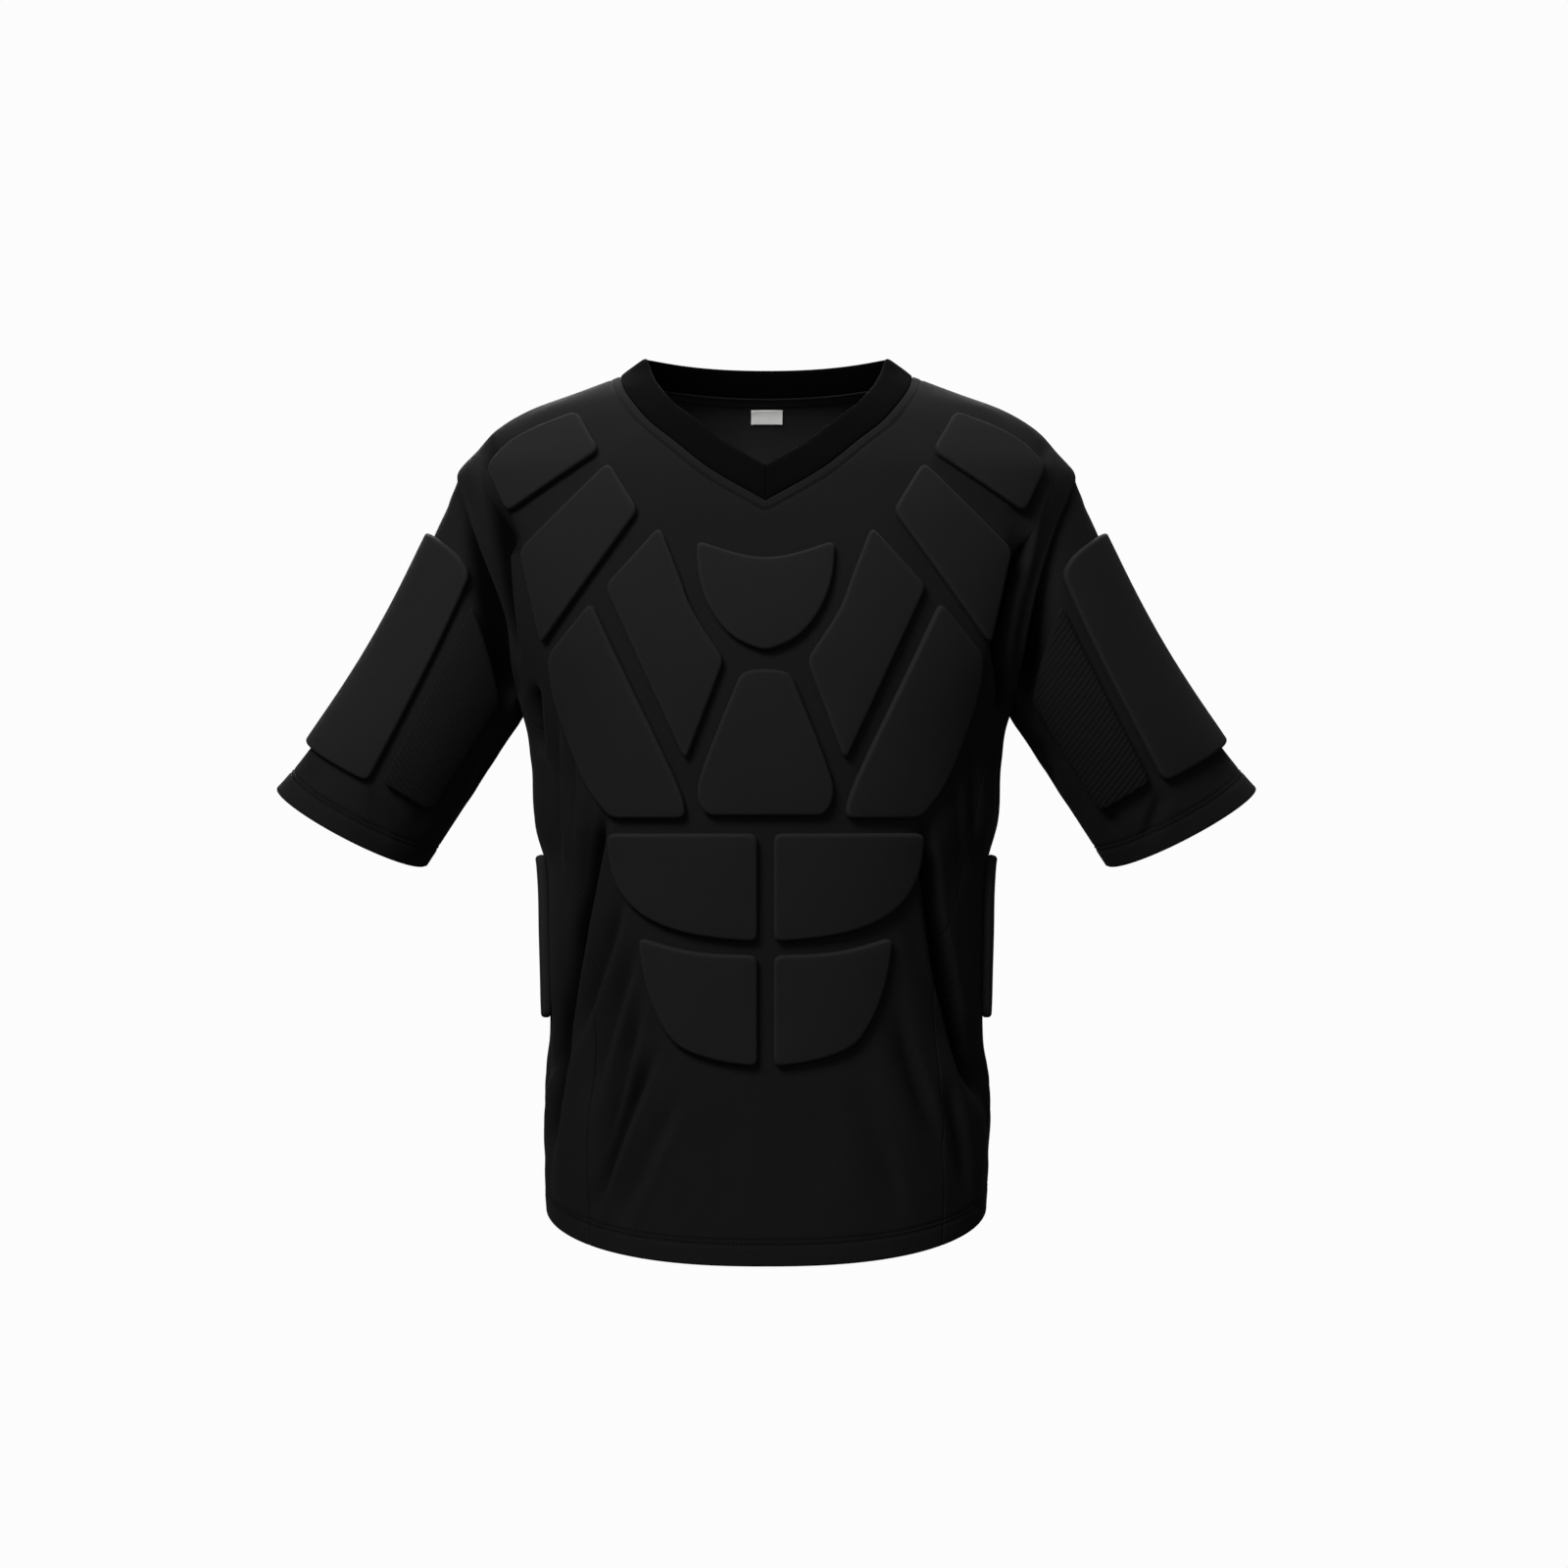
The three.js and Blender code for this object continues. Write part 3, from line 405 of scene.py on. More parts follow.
def distance_to_neck(points):
    """Distance of each point to the neck seam, and the place of the nearest point along it."""
    flat = np.abs(points.reshape(-1, 3)) * [1, 0, 0] + points.reshape(-1, 3) * [0, 1, 1]
    line, places = neck_line[::6], even_arc[::6]
    nearest, place = np.zeros((2, len(flat)))
    for start in range(0, len(flat), 4000):
        batch = slice(start, start + 4000)
        gaps = np.linalg.norm(flat[batch, None] - line[None], axis=-1)
        nearest[batch] = gaps.min(axis=1)
        place[batch] = places[gaps.argmin(axis=1)]
    return nearest.reshape(points.shape[:-1]), place.reshape(points.shape[:-1])


def rolled(distance):
    """How far a sewn edge drops as it rolls into its seam."""
    inside = np.clip(1 - distance / SEAM_ROLL, 0, 1)
    return SEAM_ROLL * 0.9 * (1 - np.sqrt(1 - inside**2))


def groove(distance, width=1.0, depth=0.7):
    """The dent that a row of stitches pulls into the cloth."""
    return depth * bell(distance, width)


def hem_rise(above_hem):
    return HEM_RISE * smoothstep(22, 17, above_hem)


def turn_up(lift, shade, above_hem):
    """Adds the hem's rise and two rows of stitches to the cloth, with painted shade in their dents, and
    gives the thickness of its wall.
    """
    lift += hem_rise(above_hem)
    for row in STITCH_ROWS:
        lift -= groove(above_hem - row)
        shade += groove(above_hem - row, 0.8, 0.7)
    return KNIT + (HEM_KNIT - KNIT) * smoothstep(21.5, 20, above_hem)


def fine_shares(count, steps, length):
    """Shares of a length, even at first and then at the given distances from its end."""
    length = np.asarray(length, float)[..., None]
    fine = 1 - steps / length
    part = np.linspace(0, 1, count, endpoint=False)
    even = (1.35 - 0.35 * part) * part * fine[..., :1]
    return np.concatenate([even, fine], axis=-1)


def row_lengths(points):
    steps = np.linalg.norm(np.diff(points, axis=1), axis=-1)
    return np.concatenate([np.zeros((len(points), 1)), np.cumsum(steps, axis=1)], axis=1)


def smooth_piece(mesh):
    """An object at the origin that shows the finished mesh smooth."""
    mesh.polygons.foreach_set("use_smooth", np.ones(len(mesh.polygons), bool))
    mesh.update()
    piece = bpy.data.objects.new(mesh.name, mesh)
    bpy.context.collection.objects.link(piece)
    return piece


def make_cloth(name, outer, inner, across, along, shade=None, looped=False):
    """A closed wall of cloth between two grids of points, with the cloth's own coordinates as UV."""
    rows, columns = outer.shape[:2]
    shade = np.zeros((rows, columns)) if shade is None else shade
    if looped:
        columns -= 1
        outer, inner, shade = outer[:, :-1], inner[:, :-1], shade[:, :-1]
    points = np.concatenate([outer.reshape(-1, 3), inner.reshape(-1, 3)]) / 1000
    layer = rows * columns
    cells_r, cells_c = np.meshgrid(
        np.arange(rows - 1), np.arange(columns if looped else columns - 1), indexing="ij"
    )
    corners_r = np.stack([cells_r, cells_r, cells_r + 1, cells_r + 1], -1).reshape(-1, 4)
    corners_c = np.stack([cells_c, cells_c + 1, cells_c + 1, cells_c], -1).reshape(-1, 4)
    quads = corners_r * columns + corners_c % columns
    uv = np.stack([across[corners_r, corners_c], along[corners_r, corners_c]], -1) / 1000
    faces, coords = [quads, quads[:, ::-1] + layer], [uv, uv[:, ::-1]]

    def rim(r, c):
        ids = r * columns + c % columns
        ring = np.stack([ids[1:], ids[:-1], ids[:-1] + layer, ids[1:] + layer], -1)
        faces.append(ring)
        flat = np.stack([across[r, c], along[r, c]], -1) / 1000
        coords.append(np.stack([flat[1:], flat[:-1], flat[:-1], flat[1:]], 1))

    all_columns = np.arange(columns + 1 if looped else columns)
    rim(np.zeros_like(all_columns), all_columns)
    rim(np.full_like(all_columns, rows - 1), all_columns[::-1])
    if not looped:
        rim(np.arange(rows)[::-1], np.zeros(rows, int))
        rim(np.arange(rows), np.full(rows, columns - 1))
    faces, coords = np.concatenate(faces), np.concatenate(coords)
    first = quads[len(quads) // 2]
    facing = np.cross(points[first[1]] - points[first[0]], points[first[3]] - points[first[0]])
    if np.dot(facing, points[first[0]] - points[first[0] + layer]) < 0:
        faces, coords = faces[:, ::-1], coords[:, ::-1]
    mesh = bpy.data.meshes.new(name)
    mesh.from_pydata(points.tolist(), [], faces.tolist())
    mesh.uv_layers.new(name="cloth").data.foreach_set("uv", coords.reshape(-1).copy())
    # the painted shade of folds and stitch dents, kept on the outer face only
    shades = np.concatenate([shade.reshape(-1), np.zeros(layer)])
    mesh.attributes.new("painted_fold_shade", "FLOAT", "POINT").data.foreach_set("value", shades)
    inside = (np.arange(len(faces)) // len(quads) == 1).astype(int)
    mesh.polygons.foreach_set("material_index", inside)
    return smooth_piece(mesh)


def body_panel(name, face):
    """Front or back panel: hem to notches, then the part between centre, neck and armhole."""
    hem_rows, lower_rows, upper_rows, columns = len(HEM_STEPS), 104, 60, 78
    step_in = 0.04  # of the way up, over which the way to the top edge is measured
    grids = []
    for side in (-1, 1):
        share = np.append(np.zeros(hem_rows), np.arange(1, lower_rows + 1) / lower_rows)
        nominal = HEM_SIDE + (NOTCH_HEIGHT - HEM_SIDE) * share
        seam_turn = side_turn(nominal, face)
        width = half_width_at(nominal) * 1.06
        turn = fine_shares(columns, EDGE_STEPS, width) * seam_turn[:, None]
        from_hem = np.append(HEM_STEPS, np.full(lower_rows, HEM_STEPS[-1]))
        start = hem_height(turn) + from_hem[:, None]
        z = start + (NOTCH_HEIGHT - start) * share[:, None]
        angle_low = np.full(z.shape, -1.0)

        up = np.linspace(0, 1, upper_rows)[1:]
        across = fine_shares(columns, EDGE_STEPS, 230.0)
        near = torso(*upper_patch(across, np.full(across.shape, 1 - step_in), face), face, 1)[0]
        edge = torso(*upper_patch(across, np.ones(across.shape), face), face, 1)[0]
        rate = np.linalg.norm(near - edge, axis=-1) / step_in
        on_neck = across < NECK_SHARE
        rate[on_neck] = distance_to_neck(near)[0][on_neck] / step_in
        rate = np.maximum(rate, 60)
        ups = fine_shares(upper_rows, TOP_STEPS, rate).T[1:]
        row_width = np.interp(ups.mean(axis=1), [0, 0.5, 1], UPPER_WIDTHS)
        acrosses = fine_shares(columns, EDGE_STEPS, row_width)
        upper_turn, upper_z = upper_patch(acrosses, ups, face)
        angle_up = (1 if face < 0 else -1) * ARMHOLE["notch"] * (1 - ups)
        turn = np.concatenate([turn, upper_turn])
        z = np.concatenate([z, upper_z])
        angle = np.concatenate([angle_low, angle_up]) % (2 * np.pi)
        point, normal = torso(turn, z, face, side)
        lower = len(angle_low)

        row_place = row_lengths(point)
        from_edge = row_place[:, -1:] - row_place
        along = row_lengths(point.transpose(1, 0, 2)).T
        from_top = along[-1:] - along
        to_neck, neck_place = distance_to_neck(point[lower:])

        direction = normal.copy()
        by_arm = bell(from_edge[lower:], MITRE_REACH)[..., None]
        mitre = armhole_mitre(angle[lower:, -1], side)[:, None]
        direction[lower:] = unit(normal[lower:] * (1 - by_arm) + mitre * by_arm)
        _, _, band_out, body_out = neck_frame(neck_place)
        by_neck = bell(to_neck, NECK_MITRE_REACH)[..., None]
        band_mitre = unit(band_out + body_out) * [side, 1, 1]
        direction[lower:] = unit(direction[lower:] * (1 - by_neck) + band_mitre * by_neck)

        by_edge = bell(from_edge, MITRE_REACH)
        below_notch = smoothstep(*NOTCH_FADE, NOTCH_HEIGHT - z)
        lift = body_creases(point) * smoothstep(0, 12, from_top) * (1 - by_edge * (1 - below_notch))
        sink = armhole_sink(angle[lower:, -1], side)[:, None]
        away = from_edge[lower:]
        ridge = SINK_RIDGE["share"] * bell(away - SINK_RIDGE["away"], SINK_RIDGE["width"])
        lift[lower:] -= sink * (bell(away, SINK_ON_BODY) - ridge)
        # painted shade in the folds, and below it in the dent of the collar stitches
        shade = fold_shade(lift)
        shade[lower:] += groove(to_neck - COLLAR_STITCH, 0.9, 0.6) * (to_neck < 12)
        lift -= rolled(from_edge) * (from_edge < SEAM_ROLL)
        lift[lower:] -= rolled(from_top[lower:])
        lift[lower:] -= groove(to_neck - COLLAR_STITCH) * (to_neck < 12)
        wall = turn_up(lift, shade, along)
        lift -= rolled(along) * 0.6
        turned_down = smoothstep(COLLAR_STITCH + 2.2, COLLAR_STITCH + 1.4, to_neck)
        wall[lower:] += 0.9 * turned_down - groove(to_neck - COLLAR_STITCH, 0.9, 0.5) * (to_neck < 12)
        outer = point + direction * lift[..., None]
        base = point + direction * (lift + rolled(from_edge) * (from_edge < SEAM_ROLL))[..., None]
        inner = base - direction * np.maximum(0.3, wall)[..., None]
        grids.append((outer, inner, side * row_place, along, shade))
    merged = [np.concatenate([a[:, :0:-1], b], axis=1) for a, b in zip(grids[0], grids[1])]
    return make_cloth(name, *merged)


def feed(tree, sockets, values):
    """Gives each named socket its value, or links it to the output that feeds it."""
    for key, value in values.items():
        if isinstance(value, bpy.types.NodeSocket):
            tree.links.new(value, sockets[key])
        else:
            sockets[key].default_value = value


def add_node(tree, kind, inputs, **settings):
    """A shader node with its settings and inputs, of which the outputs are handed back."""
    node = tree.nodes.new(kind)
    for setting, value in settings.items():
        setattr(node, setting, value)
    feed(tree, node.inputs, inputs)
    return node.outputs


def colour_ramp(tree, share, *stops):
    """A colour that runs with the share from the first stop's to the second's."""
    node = tree.nodes.new("ShaderNodeValToRGB")
    feed(tree, node.inputs, {0: share})
    for element, (position, colour) in zip(node.color_ramp.elements, stops):
        element.position = position
        element.color = colour
    return node.outputs[0]


def mix_colour(tree, share, first, second):
    inputs = {"Factor": share, "A": first, "B": second}
    return add_node(tree, "ShaderNodeMix", inputs, data_type="RGBA")["Result"]


def new_material(name, inputs):
    """A material, its node tree and the inputs of its surface."""
    material = bpy.data.materials.new(name)
    material.use_nodes = True
    tree = material.node_tree
    surface = tree.nodes["Principled BSDF"].inputs
    feed(tree, surface, inputs)
    return material, tree, surface


def jersey(name, colour, wale=0.0011, sheen=0.025, roughness=0.82, bump=0.35, mottle=0.16, gloss=0.05):
    """Fine knit: rows of small V loops on the cloth's own coordinates, fuzz, uneven dye, and painted shade
    in folds.
    """
    material, tree, surface = new_material(name, {
        "Specular IOR Level": gloss, "Sheen Weight": sheen, "Sheen Roughness": 0.45,
        "Sheen Tint": (0.75, 0.77, 0.8, 1),
    })

    def math_node(operation, *values):
        return add_node(tree, "ShaderNodeMath", dict(enumerate(values)), operation=operation)[0]

    def times(share):
        return (*(share * c for c in colour), 1)

    place = add_node(tree, "ShaderNodeUVMap", {}, uv_map="cloth")[0]
    parts = add_node(tree, "ShaderNodeSeparateXYZ", {0: place})
    across = math_node("FRACT", math_node("MULTIPLY", parts[0], 1 / wale))
    lean = math_node("ABSOLUTE", math_node("SUBTRACT", across, 0.5))
    course = math_node("MULTIPLY_ADD", parts[1], 1 / (wale * 0.8), lean)
    leg = math_node("ABSOLUTE", math_node("SINE", math_node("MULTIPLY", across, 2 * math.pi)))
    loop = math_node("SINE", math_node("MULTIPLY", math_node("FRACT", course), math.pi))
    stitch = math_node("MULTIPLY", leg, math_node("MULTIPLY_ADD", loop, 0.7, 0.3))

    where = add_node(tree, "ShaderNodeTexCoord", {})["Object"]
    fuzz = add_node(tree, "ShaderNodeTexNoise", {"Vector": where, "Scale": 900, "Detail": 3})["Fac"]
    patches = {"Vector": where, "Scale": 26, "Detail": 5, "Roughness": 0.6}
    dye = add_node(tree, "ShaderNodeTexNoise", patches)["Fac"]
    height = math_node("MULTIPLY_ADD", fuzz, 0.5, stitch)
    relief = {"Strength": bump, "Distance": 0.00022, "Height": height}
    uneven = math_node("MULTIPLY_ADD", dye, 0.6, math_node("MULTIPLY", stitch, 0.25))
    tone = math_node("MULTIPLY_ADD", fuzz, 0.3, uneven)
    shade = colour_ramp(tree, tone, (0.25, times(1 - mottle)), (0.8, times(1 + mottle)))
    painted_fold_shade = add_node(tree, "ShaderNodeAttribute", {}, attribute_name="painted_fold_shade")["Fac"]
    wear = {"Value": dye, "To Min": roughness - 0.07, "To Max": min(1, roughness + 0.08)}
    # painted shade: the colour darkens to 6% of the knit's in folds and stitch dents
    feed(tree, surface, {
        "Base Color": mix_colour(tree, painted_fold_shade, shade, times(0.06)),
        "Roughness": add_node(tree, "ShaderNodeMapRange", wear)[0],
        "Normal": add_node(tree, "ShaderNodeBump", relief)[0],
    })
    return material


body_jersey = jersey("black jersey", (0.0058, 0.0058, 0.0059), sheen=0.011, gloss=0.03)
# The inside faces are paler: partly the wrong side of the knit, partly painted light standing in for the
# light that reaches inside the shirt.
jersey_inside = jersey("wrong side of the jersey with painted light", (0.0135, 0.0135, 0.0137), wale=0.0013, bump=0.5)
front_panel = body_panel("front_panel_knit", -1)
for material in (body_jersey, jersey_inside):
    front_panel.data.materials.append(material)
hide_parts("front_panel")
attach(front_panel, "root")

STITCH = dict(pitch=3.0, length=2.4, radius=0.24)
thread, tree, surface = new_material("black thread", {"Roughness": 0.5, "Specular IOR Level": 0.12})
where = add_node(tree, "ShaderNodeTexCoord", {})["Object"]
twist = add_node(tree, "ShaderNodeTexNoise", {"Vector": where, "Scale": 1400})["Fac"]
tint = colour_ramp(tree, twist, (0, (0.002, 0.002, 0.0021, 1)), (1, (0.005, 0.005, 0.0052, 1)))
feed(tree, surface, {"Base Color": tint})


def sew(name, lines):
    """Rows of stitches: each line is points on the cloth with its outward directions."""
    points, faces = [], []
    stations = np.array([-1, -0.82, -0.4, 0.4, 0.82, 1])
    girths = np.array([0.15, 0.7, 1, 1, 0.7, 0.15])
    sides = 6
    last_ring = (len(stations) - 1) * sides
    spokes = np.linspace(0, 2 * np.pi, sides, endpoint=False)
    for line, out in lines:
        arc = arc_lengths(line)
        for middle in np.arange(STITCH["pitch"] / 2, arc[-1], STITCH["pitch"]):
            behind, here, ahead = read_along(middle + np.array([-0.6, 0, 0.6]), arc, line)
            normal = unit(read_along(middle, arc, out))
            run = unit(ahead - behind)
            across = unit(np.cross(run, normal))
            first = len(points)
            for station, girth in zip(stations, girths):
                sag = -0.28 * abs(station) ** 3
                raised = sag + STITCH["radius"] * 0.2
                centre = here + run * station * STITCH["length"] / 2 + normal * raised
                ring = np.cos(spokes)[:, None] * across + np.sin(spokes)[:, None] * normal
                points += (centre + ring * girth * STITCH["radius"]).tolist()
            for low in range(first, first + last_ring, sides):
                for k in range(sides):
                    following = (k + 1) % sides
                    faces.append((low + k, low + following, low + sides + following, low + sides + k))
            faces.append(tuple(first + k for k in range(sides - 1, -1, -1)))
            faces.append(tuple(first + last_ring + k for k in range(sides)))
    mesh = bpy.data.meshes.new(name)
    mesh.from_pydata((np.array(points) / 1000).tolist(), [], faces)
    piece = smooth_piece(mesh)
    one_stitch = mesh.polygons[: last_ring + 2]
    if sum(p.area * p.normal.dot(p.center - mesh.vertices[0].co) for p in one_stitch) < 0:
        mesh.flip_normals()
    mesh.materials.append(thread)
    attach(piece, "root")
    return piece


def hem_line(face, side, row):
    """A row of the hem's stitches on half the front or back, with the cloth's outward directions."""
    turn = np.linspace(0, float(side_turn(np.array(HEM_SIDE), face)), 200)
    point, normal = torso(turn, hem_height(turn) + row, face, side)
    lift = hem_rise(row) - groove(0.0) + body_creases(point)
    return point + normal * lift[:, None], normal


front_rows = [hem_line(-1, side, row) for row in STITCH_ROWS for side in (-1, 1)]
front_hem = sew("front_hem_stitching", front_rows)

# The back panel
# The same jersey, cut a little higher at the neck and left plain. Its creases run down from the
# armholes to the flanks, as the front's do, at other places and less deep.
back_panel = body_panel("back_panel_knit", 1)
for material in (body_jersey, jersey_inside):
    back_panel.data.materials.append(material)
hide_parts("back_panel")
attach(back_panel, "root")
back_rows = [hem_line(1, side, row) for row in STITCH_ROWS for side in (-1, 1)]
back_hem = sew("back_hem_stitching", back_rows)

# The side panels
# A strip of the same jersey down each flank, from the armhole's notch to the hem, sewn between front
# and back. The rib pad is bonded to it.
HANDS = (("left", 1), ("right", -1))  # the wearer's, and the way that x runs


def side_panel(name, side):
    rows, columns = 92, 22
    half = fine_shares(columns, EDGE_STEPS, 70.0)
    column = np.concatenate([-half[:0:-1], half])  # from front seam to back seam, through the side line
    angle = np.pi + column * (np.pi - ARMHOLE["notch"])
    top_turn, top_z, top_face = armhole(angle)
    notch_past = np.where(column < 0, np.pi / 2 - notch_turn(-1), np.pi / 2 - notch_turn(1))
    top_share_across = (np.pi / 2 - top_turn) * np.where(top_face > 0, 1, -1) / notch_past
    hem_rows = len(HEM_STEPS)
    top_share = 1 - TOP_STEPS[8:] / (NOTCH_HEIGHT - HEM_SIDE)
    even = np.arange(1, rows + 1) / (rows + 1) * top_share[0]
    share = np.concatenate([np.zeros(hem_rows), even, top_share])
    from_hem = np.append(HEM_STEPS, np.full(len(share) - hem_rows, HEM_STEPS[-1]))
    nominal = HEM_SIDE + (NOTCH_HEIGHT - HEM_SIDE) * share
    front_past = np.pi / 2 - side_turn(nominal, -1)
    back_past = np.pi / 2 - side_turn(nominal, 1)
    ease = smoothstep(-330, NOTCH_HEIGHT, nominal)[:, None]
    share_across = column * (1 - ease) + top_share_across * ease
    past = np.where(column < 0, front_past[:, None], back_past[:, None]) * share_across
    turn = np.pi / 2 - np.abs(past)
    start = hem_height(turn) + from_hem[:, None]
    z = start + (top_z - start) * share[:, None]
    face = np.broadcast_to(np.where(column < 0, -1, 1), z.shape)
    point, normal = torso(turn, z, face, side)
    place = row_lengths(point)
    from_edge = np.minimum(place, place[:, -1:] - place)
    along = row_lengths(point.transpose(1, 0, 2)).T
    from_top = along[-1:] - along
    by_arm = bell(from_top, MITRE_REACH)[..., None]
    direction = unit(normal * (1 - by_arm) + armhole_mitre(angle, side)[None] * by_arm)
    lift = body_creases(point) * smoothstep(*NOTCH_FADE, top_z - z)
    # painted shade in the folds
    shade = fold_shade(lift)
    roll = rolled(from_edge)
    lift -= roll + rolled(from_top) + 0.6 * rolled(along)
    wall = turn_up(lift, shade, along)
    outer = point + direction * lift[..., None]
    inner = point + direction * (lift + roll - wall)[..., None]
    return make_cloth(name, outer, inner, place, along, shade)


def side_hem_line(side, row):
    column = np.linspace(-1, 1, 120)
    seam = np.where(column < 0, side_turn(np.array(HEM_SIDE), -1), side_turn(np.array(HEM_SIDE), 1))
    past = (np.pi / 2 - seam) * column
    turn = np.pi / 2 - np.abs(past)
    point, normal = torso(turn, hem_height(turn) + row, np.where(past < 0, -1, 1), side)
    lift = hem_rise(row) - groove(0.0) + body_creases(point)
    return point + normal * lift[:, None], normal


for hand, side in HANDS:
    panel = side_panel(f"side_panel_{hand}_knit", side)
    for material in (body_jersey, jersey_inside):
        panel.data.materials.append(material)
    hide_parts(f"side_panel_{hand}")
    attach(panel, "root")
    side_hem = sew(f"side_hem_stitching_{hand}", [side_hem_line(side, row) for row in STITCH_ROWS])

# The sleeves
# Wide elbow-length sleeves of the same jersey, each one piece set into the armhole. The cloth falls in
# behind the armhole's front edge, and the cuff is turned up 19 mm and sewn with two rows.
SLEEVE_RADIUS = 62  # turns millimetres round the sleeve into an angle
SLEEVE_CREASES = (  # from the way round, the way up from the cuff, to the same, width, depth, bow
    (96, 44, 130, 12, 4, 2.2, 1), (132, 60, 150, 30, 5, 1.8, -1), (-98, 50, -130, 20, 6, 2.4, 2),
    (-110, 120, -150, 84, 8, 3.0, 3), (-92, 180, -140, 150, 8, 3.2, -3), (-150, 60, -176, 40, 7, 2.0, 1),
    (150, 176, 178, 120, 8, 3.4, 2), (168, 120, 186, 70, 8, 2.6, -2), (-126, 214, -160, 190, 7, 2.8, 1),
    (30, 30, 52, 22, 7, 0.8, 1), (-40, 26, -70, 34, 8, 1.0, 1), (0, 250, 24, 262, 9, 0.9, 1),
    (86, 236, 74, 256, 5, 1.8, 1), (-70, 236, -84, 262, 7, 1.8, -1),
)


def sleeve_lift(angle, up, reach, side):
    """Creases of the sleeve, and its side of the valley that the armhole seam lies in."""
    turned = (angle + np.pi) % (2 * np.pi) - np.pi
    lift = crease_height(turned * SLEEVE_RADIUS, up, SLEEVE_CREASES)
    lift *= smoothstep(4, 24, reach) * smoothstep(0, 14, up)
    return lift - armhole_sink(angle, side) * np.exp(-((reach / SINK_ON_SLEEVE) ** 1.4))


def sleeve_shell(name, side):
    columns, rows = 168, 76
    angle = np.linspace(0, 2 * np.pi, columns + 1)
    length = sleeve_base(angle, np.zeros(columns + 1), side)[1]
    fine_top = TOP_STEPS[8:][::-1]
    share = np.concatenate([
        fine_top[:, None] / length,
        np.linspace(fine_top[-1] / length, 1 - HEM_STEPS[-1] / length, rows)[1:],
        1 - HEM_STEPS[::-1][1:, None] / length,
    ])
    angles = np.broadcast_to(angle, share.shape)
    point, normal, length = sleeve(angles, share, side)
    reach = share * length
    up = length - reach
    by_arm = bell(reach, MITRE_REACH)[..., None]
    direction = unit(normal * (1 - by_arm) + armhole_mitre(angle, side)[None] * by_arm)
    lift = sleeve_lift(angles, up, reach, side)
    # painted shade in the folds
    shade = fold_shade(lift)
    roll = rolled(reach)
    lift -= roll + 0.6 * rolled(up)
    wall = turn_up(lift, shade, up)
    outer = point + direction * lift[..., None]
    inner = point + direction * (lift + roll - wall)[..., None]
    place = np.broadcast_to(angle * SLEEVE_RADIUS, share.shape)
    return make_cloth(name, outer, inner, place, up, shade, looped=True)


def cuff_line(side, row):
    angle = np.linspace(0, 2 * np.pi, 240)
    length = sleeve_base(angle, np.zeros(240), side)[1]
    point, normal, _ = sleeve(angle, 1 - row / length, side)
    creased = sleeve_lift(angle, np.full(240, row), length - row, side)
    lift = hem_rise(row) - groove(0.0) + creased
    return point + normal * lift[:, None], normal


for hand, side in HANDS:
    shell = sleeve_shell(f"sleeve_{hand}_knit", side)
    for material in (body_jersey, jersey_inside):
        shell.data.materials.append(material)
    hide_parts(f"sleeve_{hand}")
    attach(shell, "root")
    cuff = sew(f"cuff_stitching_{hand}", [cuff_line(side, row) for row in STITCH_ROWS])

# The collar
# A V-neck band of black rib, folded double, sewn on round the neck and mitred at the V. Its folded
# edge is the neck opening.
MITRE_LEAN = math.radians(30.8)
MITRE_FADE = 46  # the band's ribs turn to the mitre over this length of seam


def collar_point(arc, up, off):
    """A point of the band: the way round from the V, the way up it, and out of it."""
    shift = up * math.tan(MITRE_LEAN) * (1 - np.clip(arc / MITRE_FADE, 0, 1)) ** 2
    point, rise, out, body_out = neck_frame(arc + shift)
    near_seam = bell(up, NECK_MITRE_REACH)[..., None]
    outward = unit(out * (1 - near_seam) + unit(out + body_out) * near_seam)
    return point + rise * up[..., None] + outward * off[..., None]


band_profile = (  # up the band and out of it, from the seam over the folded edge to the inside
    [(0.1, -1.2), (0.35, -0.55), (0.9, -0.1), (1.8, 0.1), (4, 0.3)]
    + [(u, 0.45) for u in (7, 10, 13, 16, 19)]
    + [(21.5, 0.35), (22.8, 0.1), (23.7, -0.35), (24.3, -0.8), (24.5, -1.2), (24.3, -1.7)]
    + [(23.7, -2.15), (22.8, -2.4), (20, -2.5), (15, -2.5), (10, -2.4), (5, -2.2), (1.5, -1.9)]
    + [(0.3, -1.75)]
)
band_up, band_off = np.array(band_profile).T
arc_steps = np.concatenate([[0, 0.3, 0.8, 1.5, 2.5], np.linspace(4, NECK_LENGTH, 170)])
arcs, ups = np.meshgrid(arc_steps, band_up)
offs = np.broadcast_to(band_off[:, None], arcs.shape)
mitre_seam = groove(arcs, 1.3, 1.1) * (offs > -1.5)
half_band = collar_point(arcs, ups, offs - mitre_seam)
half_band[:, 0, 0] = 0
half_band[:, -1, 0] = 0
half_band[..., 0] = np.maximum(half_band[..., 0], 0)
other_half = half_band[:, 1:-1][:, ::-1] * [-1, 1, 1]
band = np.concatenate([half_band, other_half], axis=1)
band_place = np.concatenate([arcs, 2 * NECK_LENGTH - arcs[:, 1:-1][:, ::-1]], axis=1)
rows, columns = band.shape[:2]
grid = np.arange(rows * columns).reshape(rows, columns)
beyond = np.roll(grid, -1, 1)
corner = np.stack([grid, beyond, np.roll(beyond, -1, 0), np.roll(grid, -1, 0)], -1)
collar_mesh = bpy.data.meshes.new("collar_rib")
collar_mesh.from_pydata((band.reshape(-1, 3) / 1000).tolist(), [], corner.reshape(-1, 4).tolist())
girth = np.append(0, np.cumsum(np.hypot(np.diff(band_up), np.diff(band_off))))
u_corner = np.stack([band_place, np.append(band_place[:, 1:], np.full((rows, 1), 2 * NECK_LENGTH), 1)], -1)
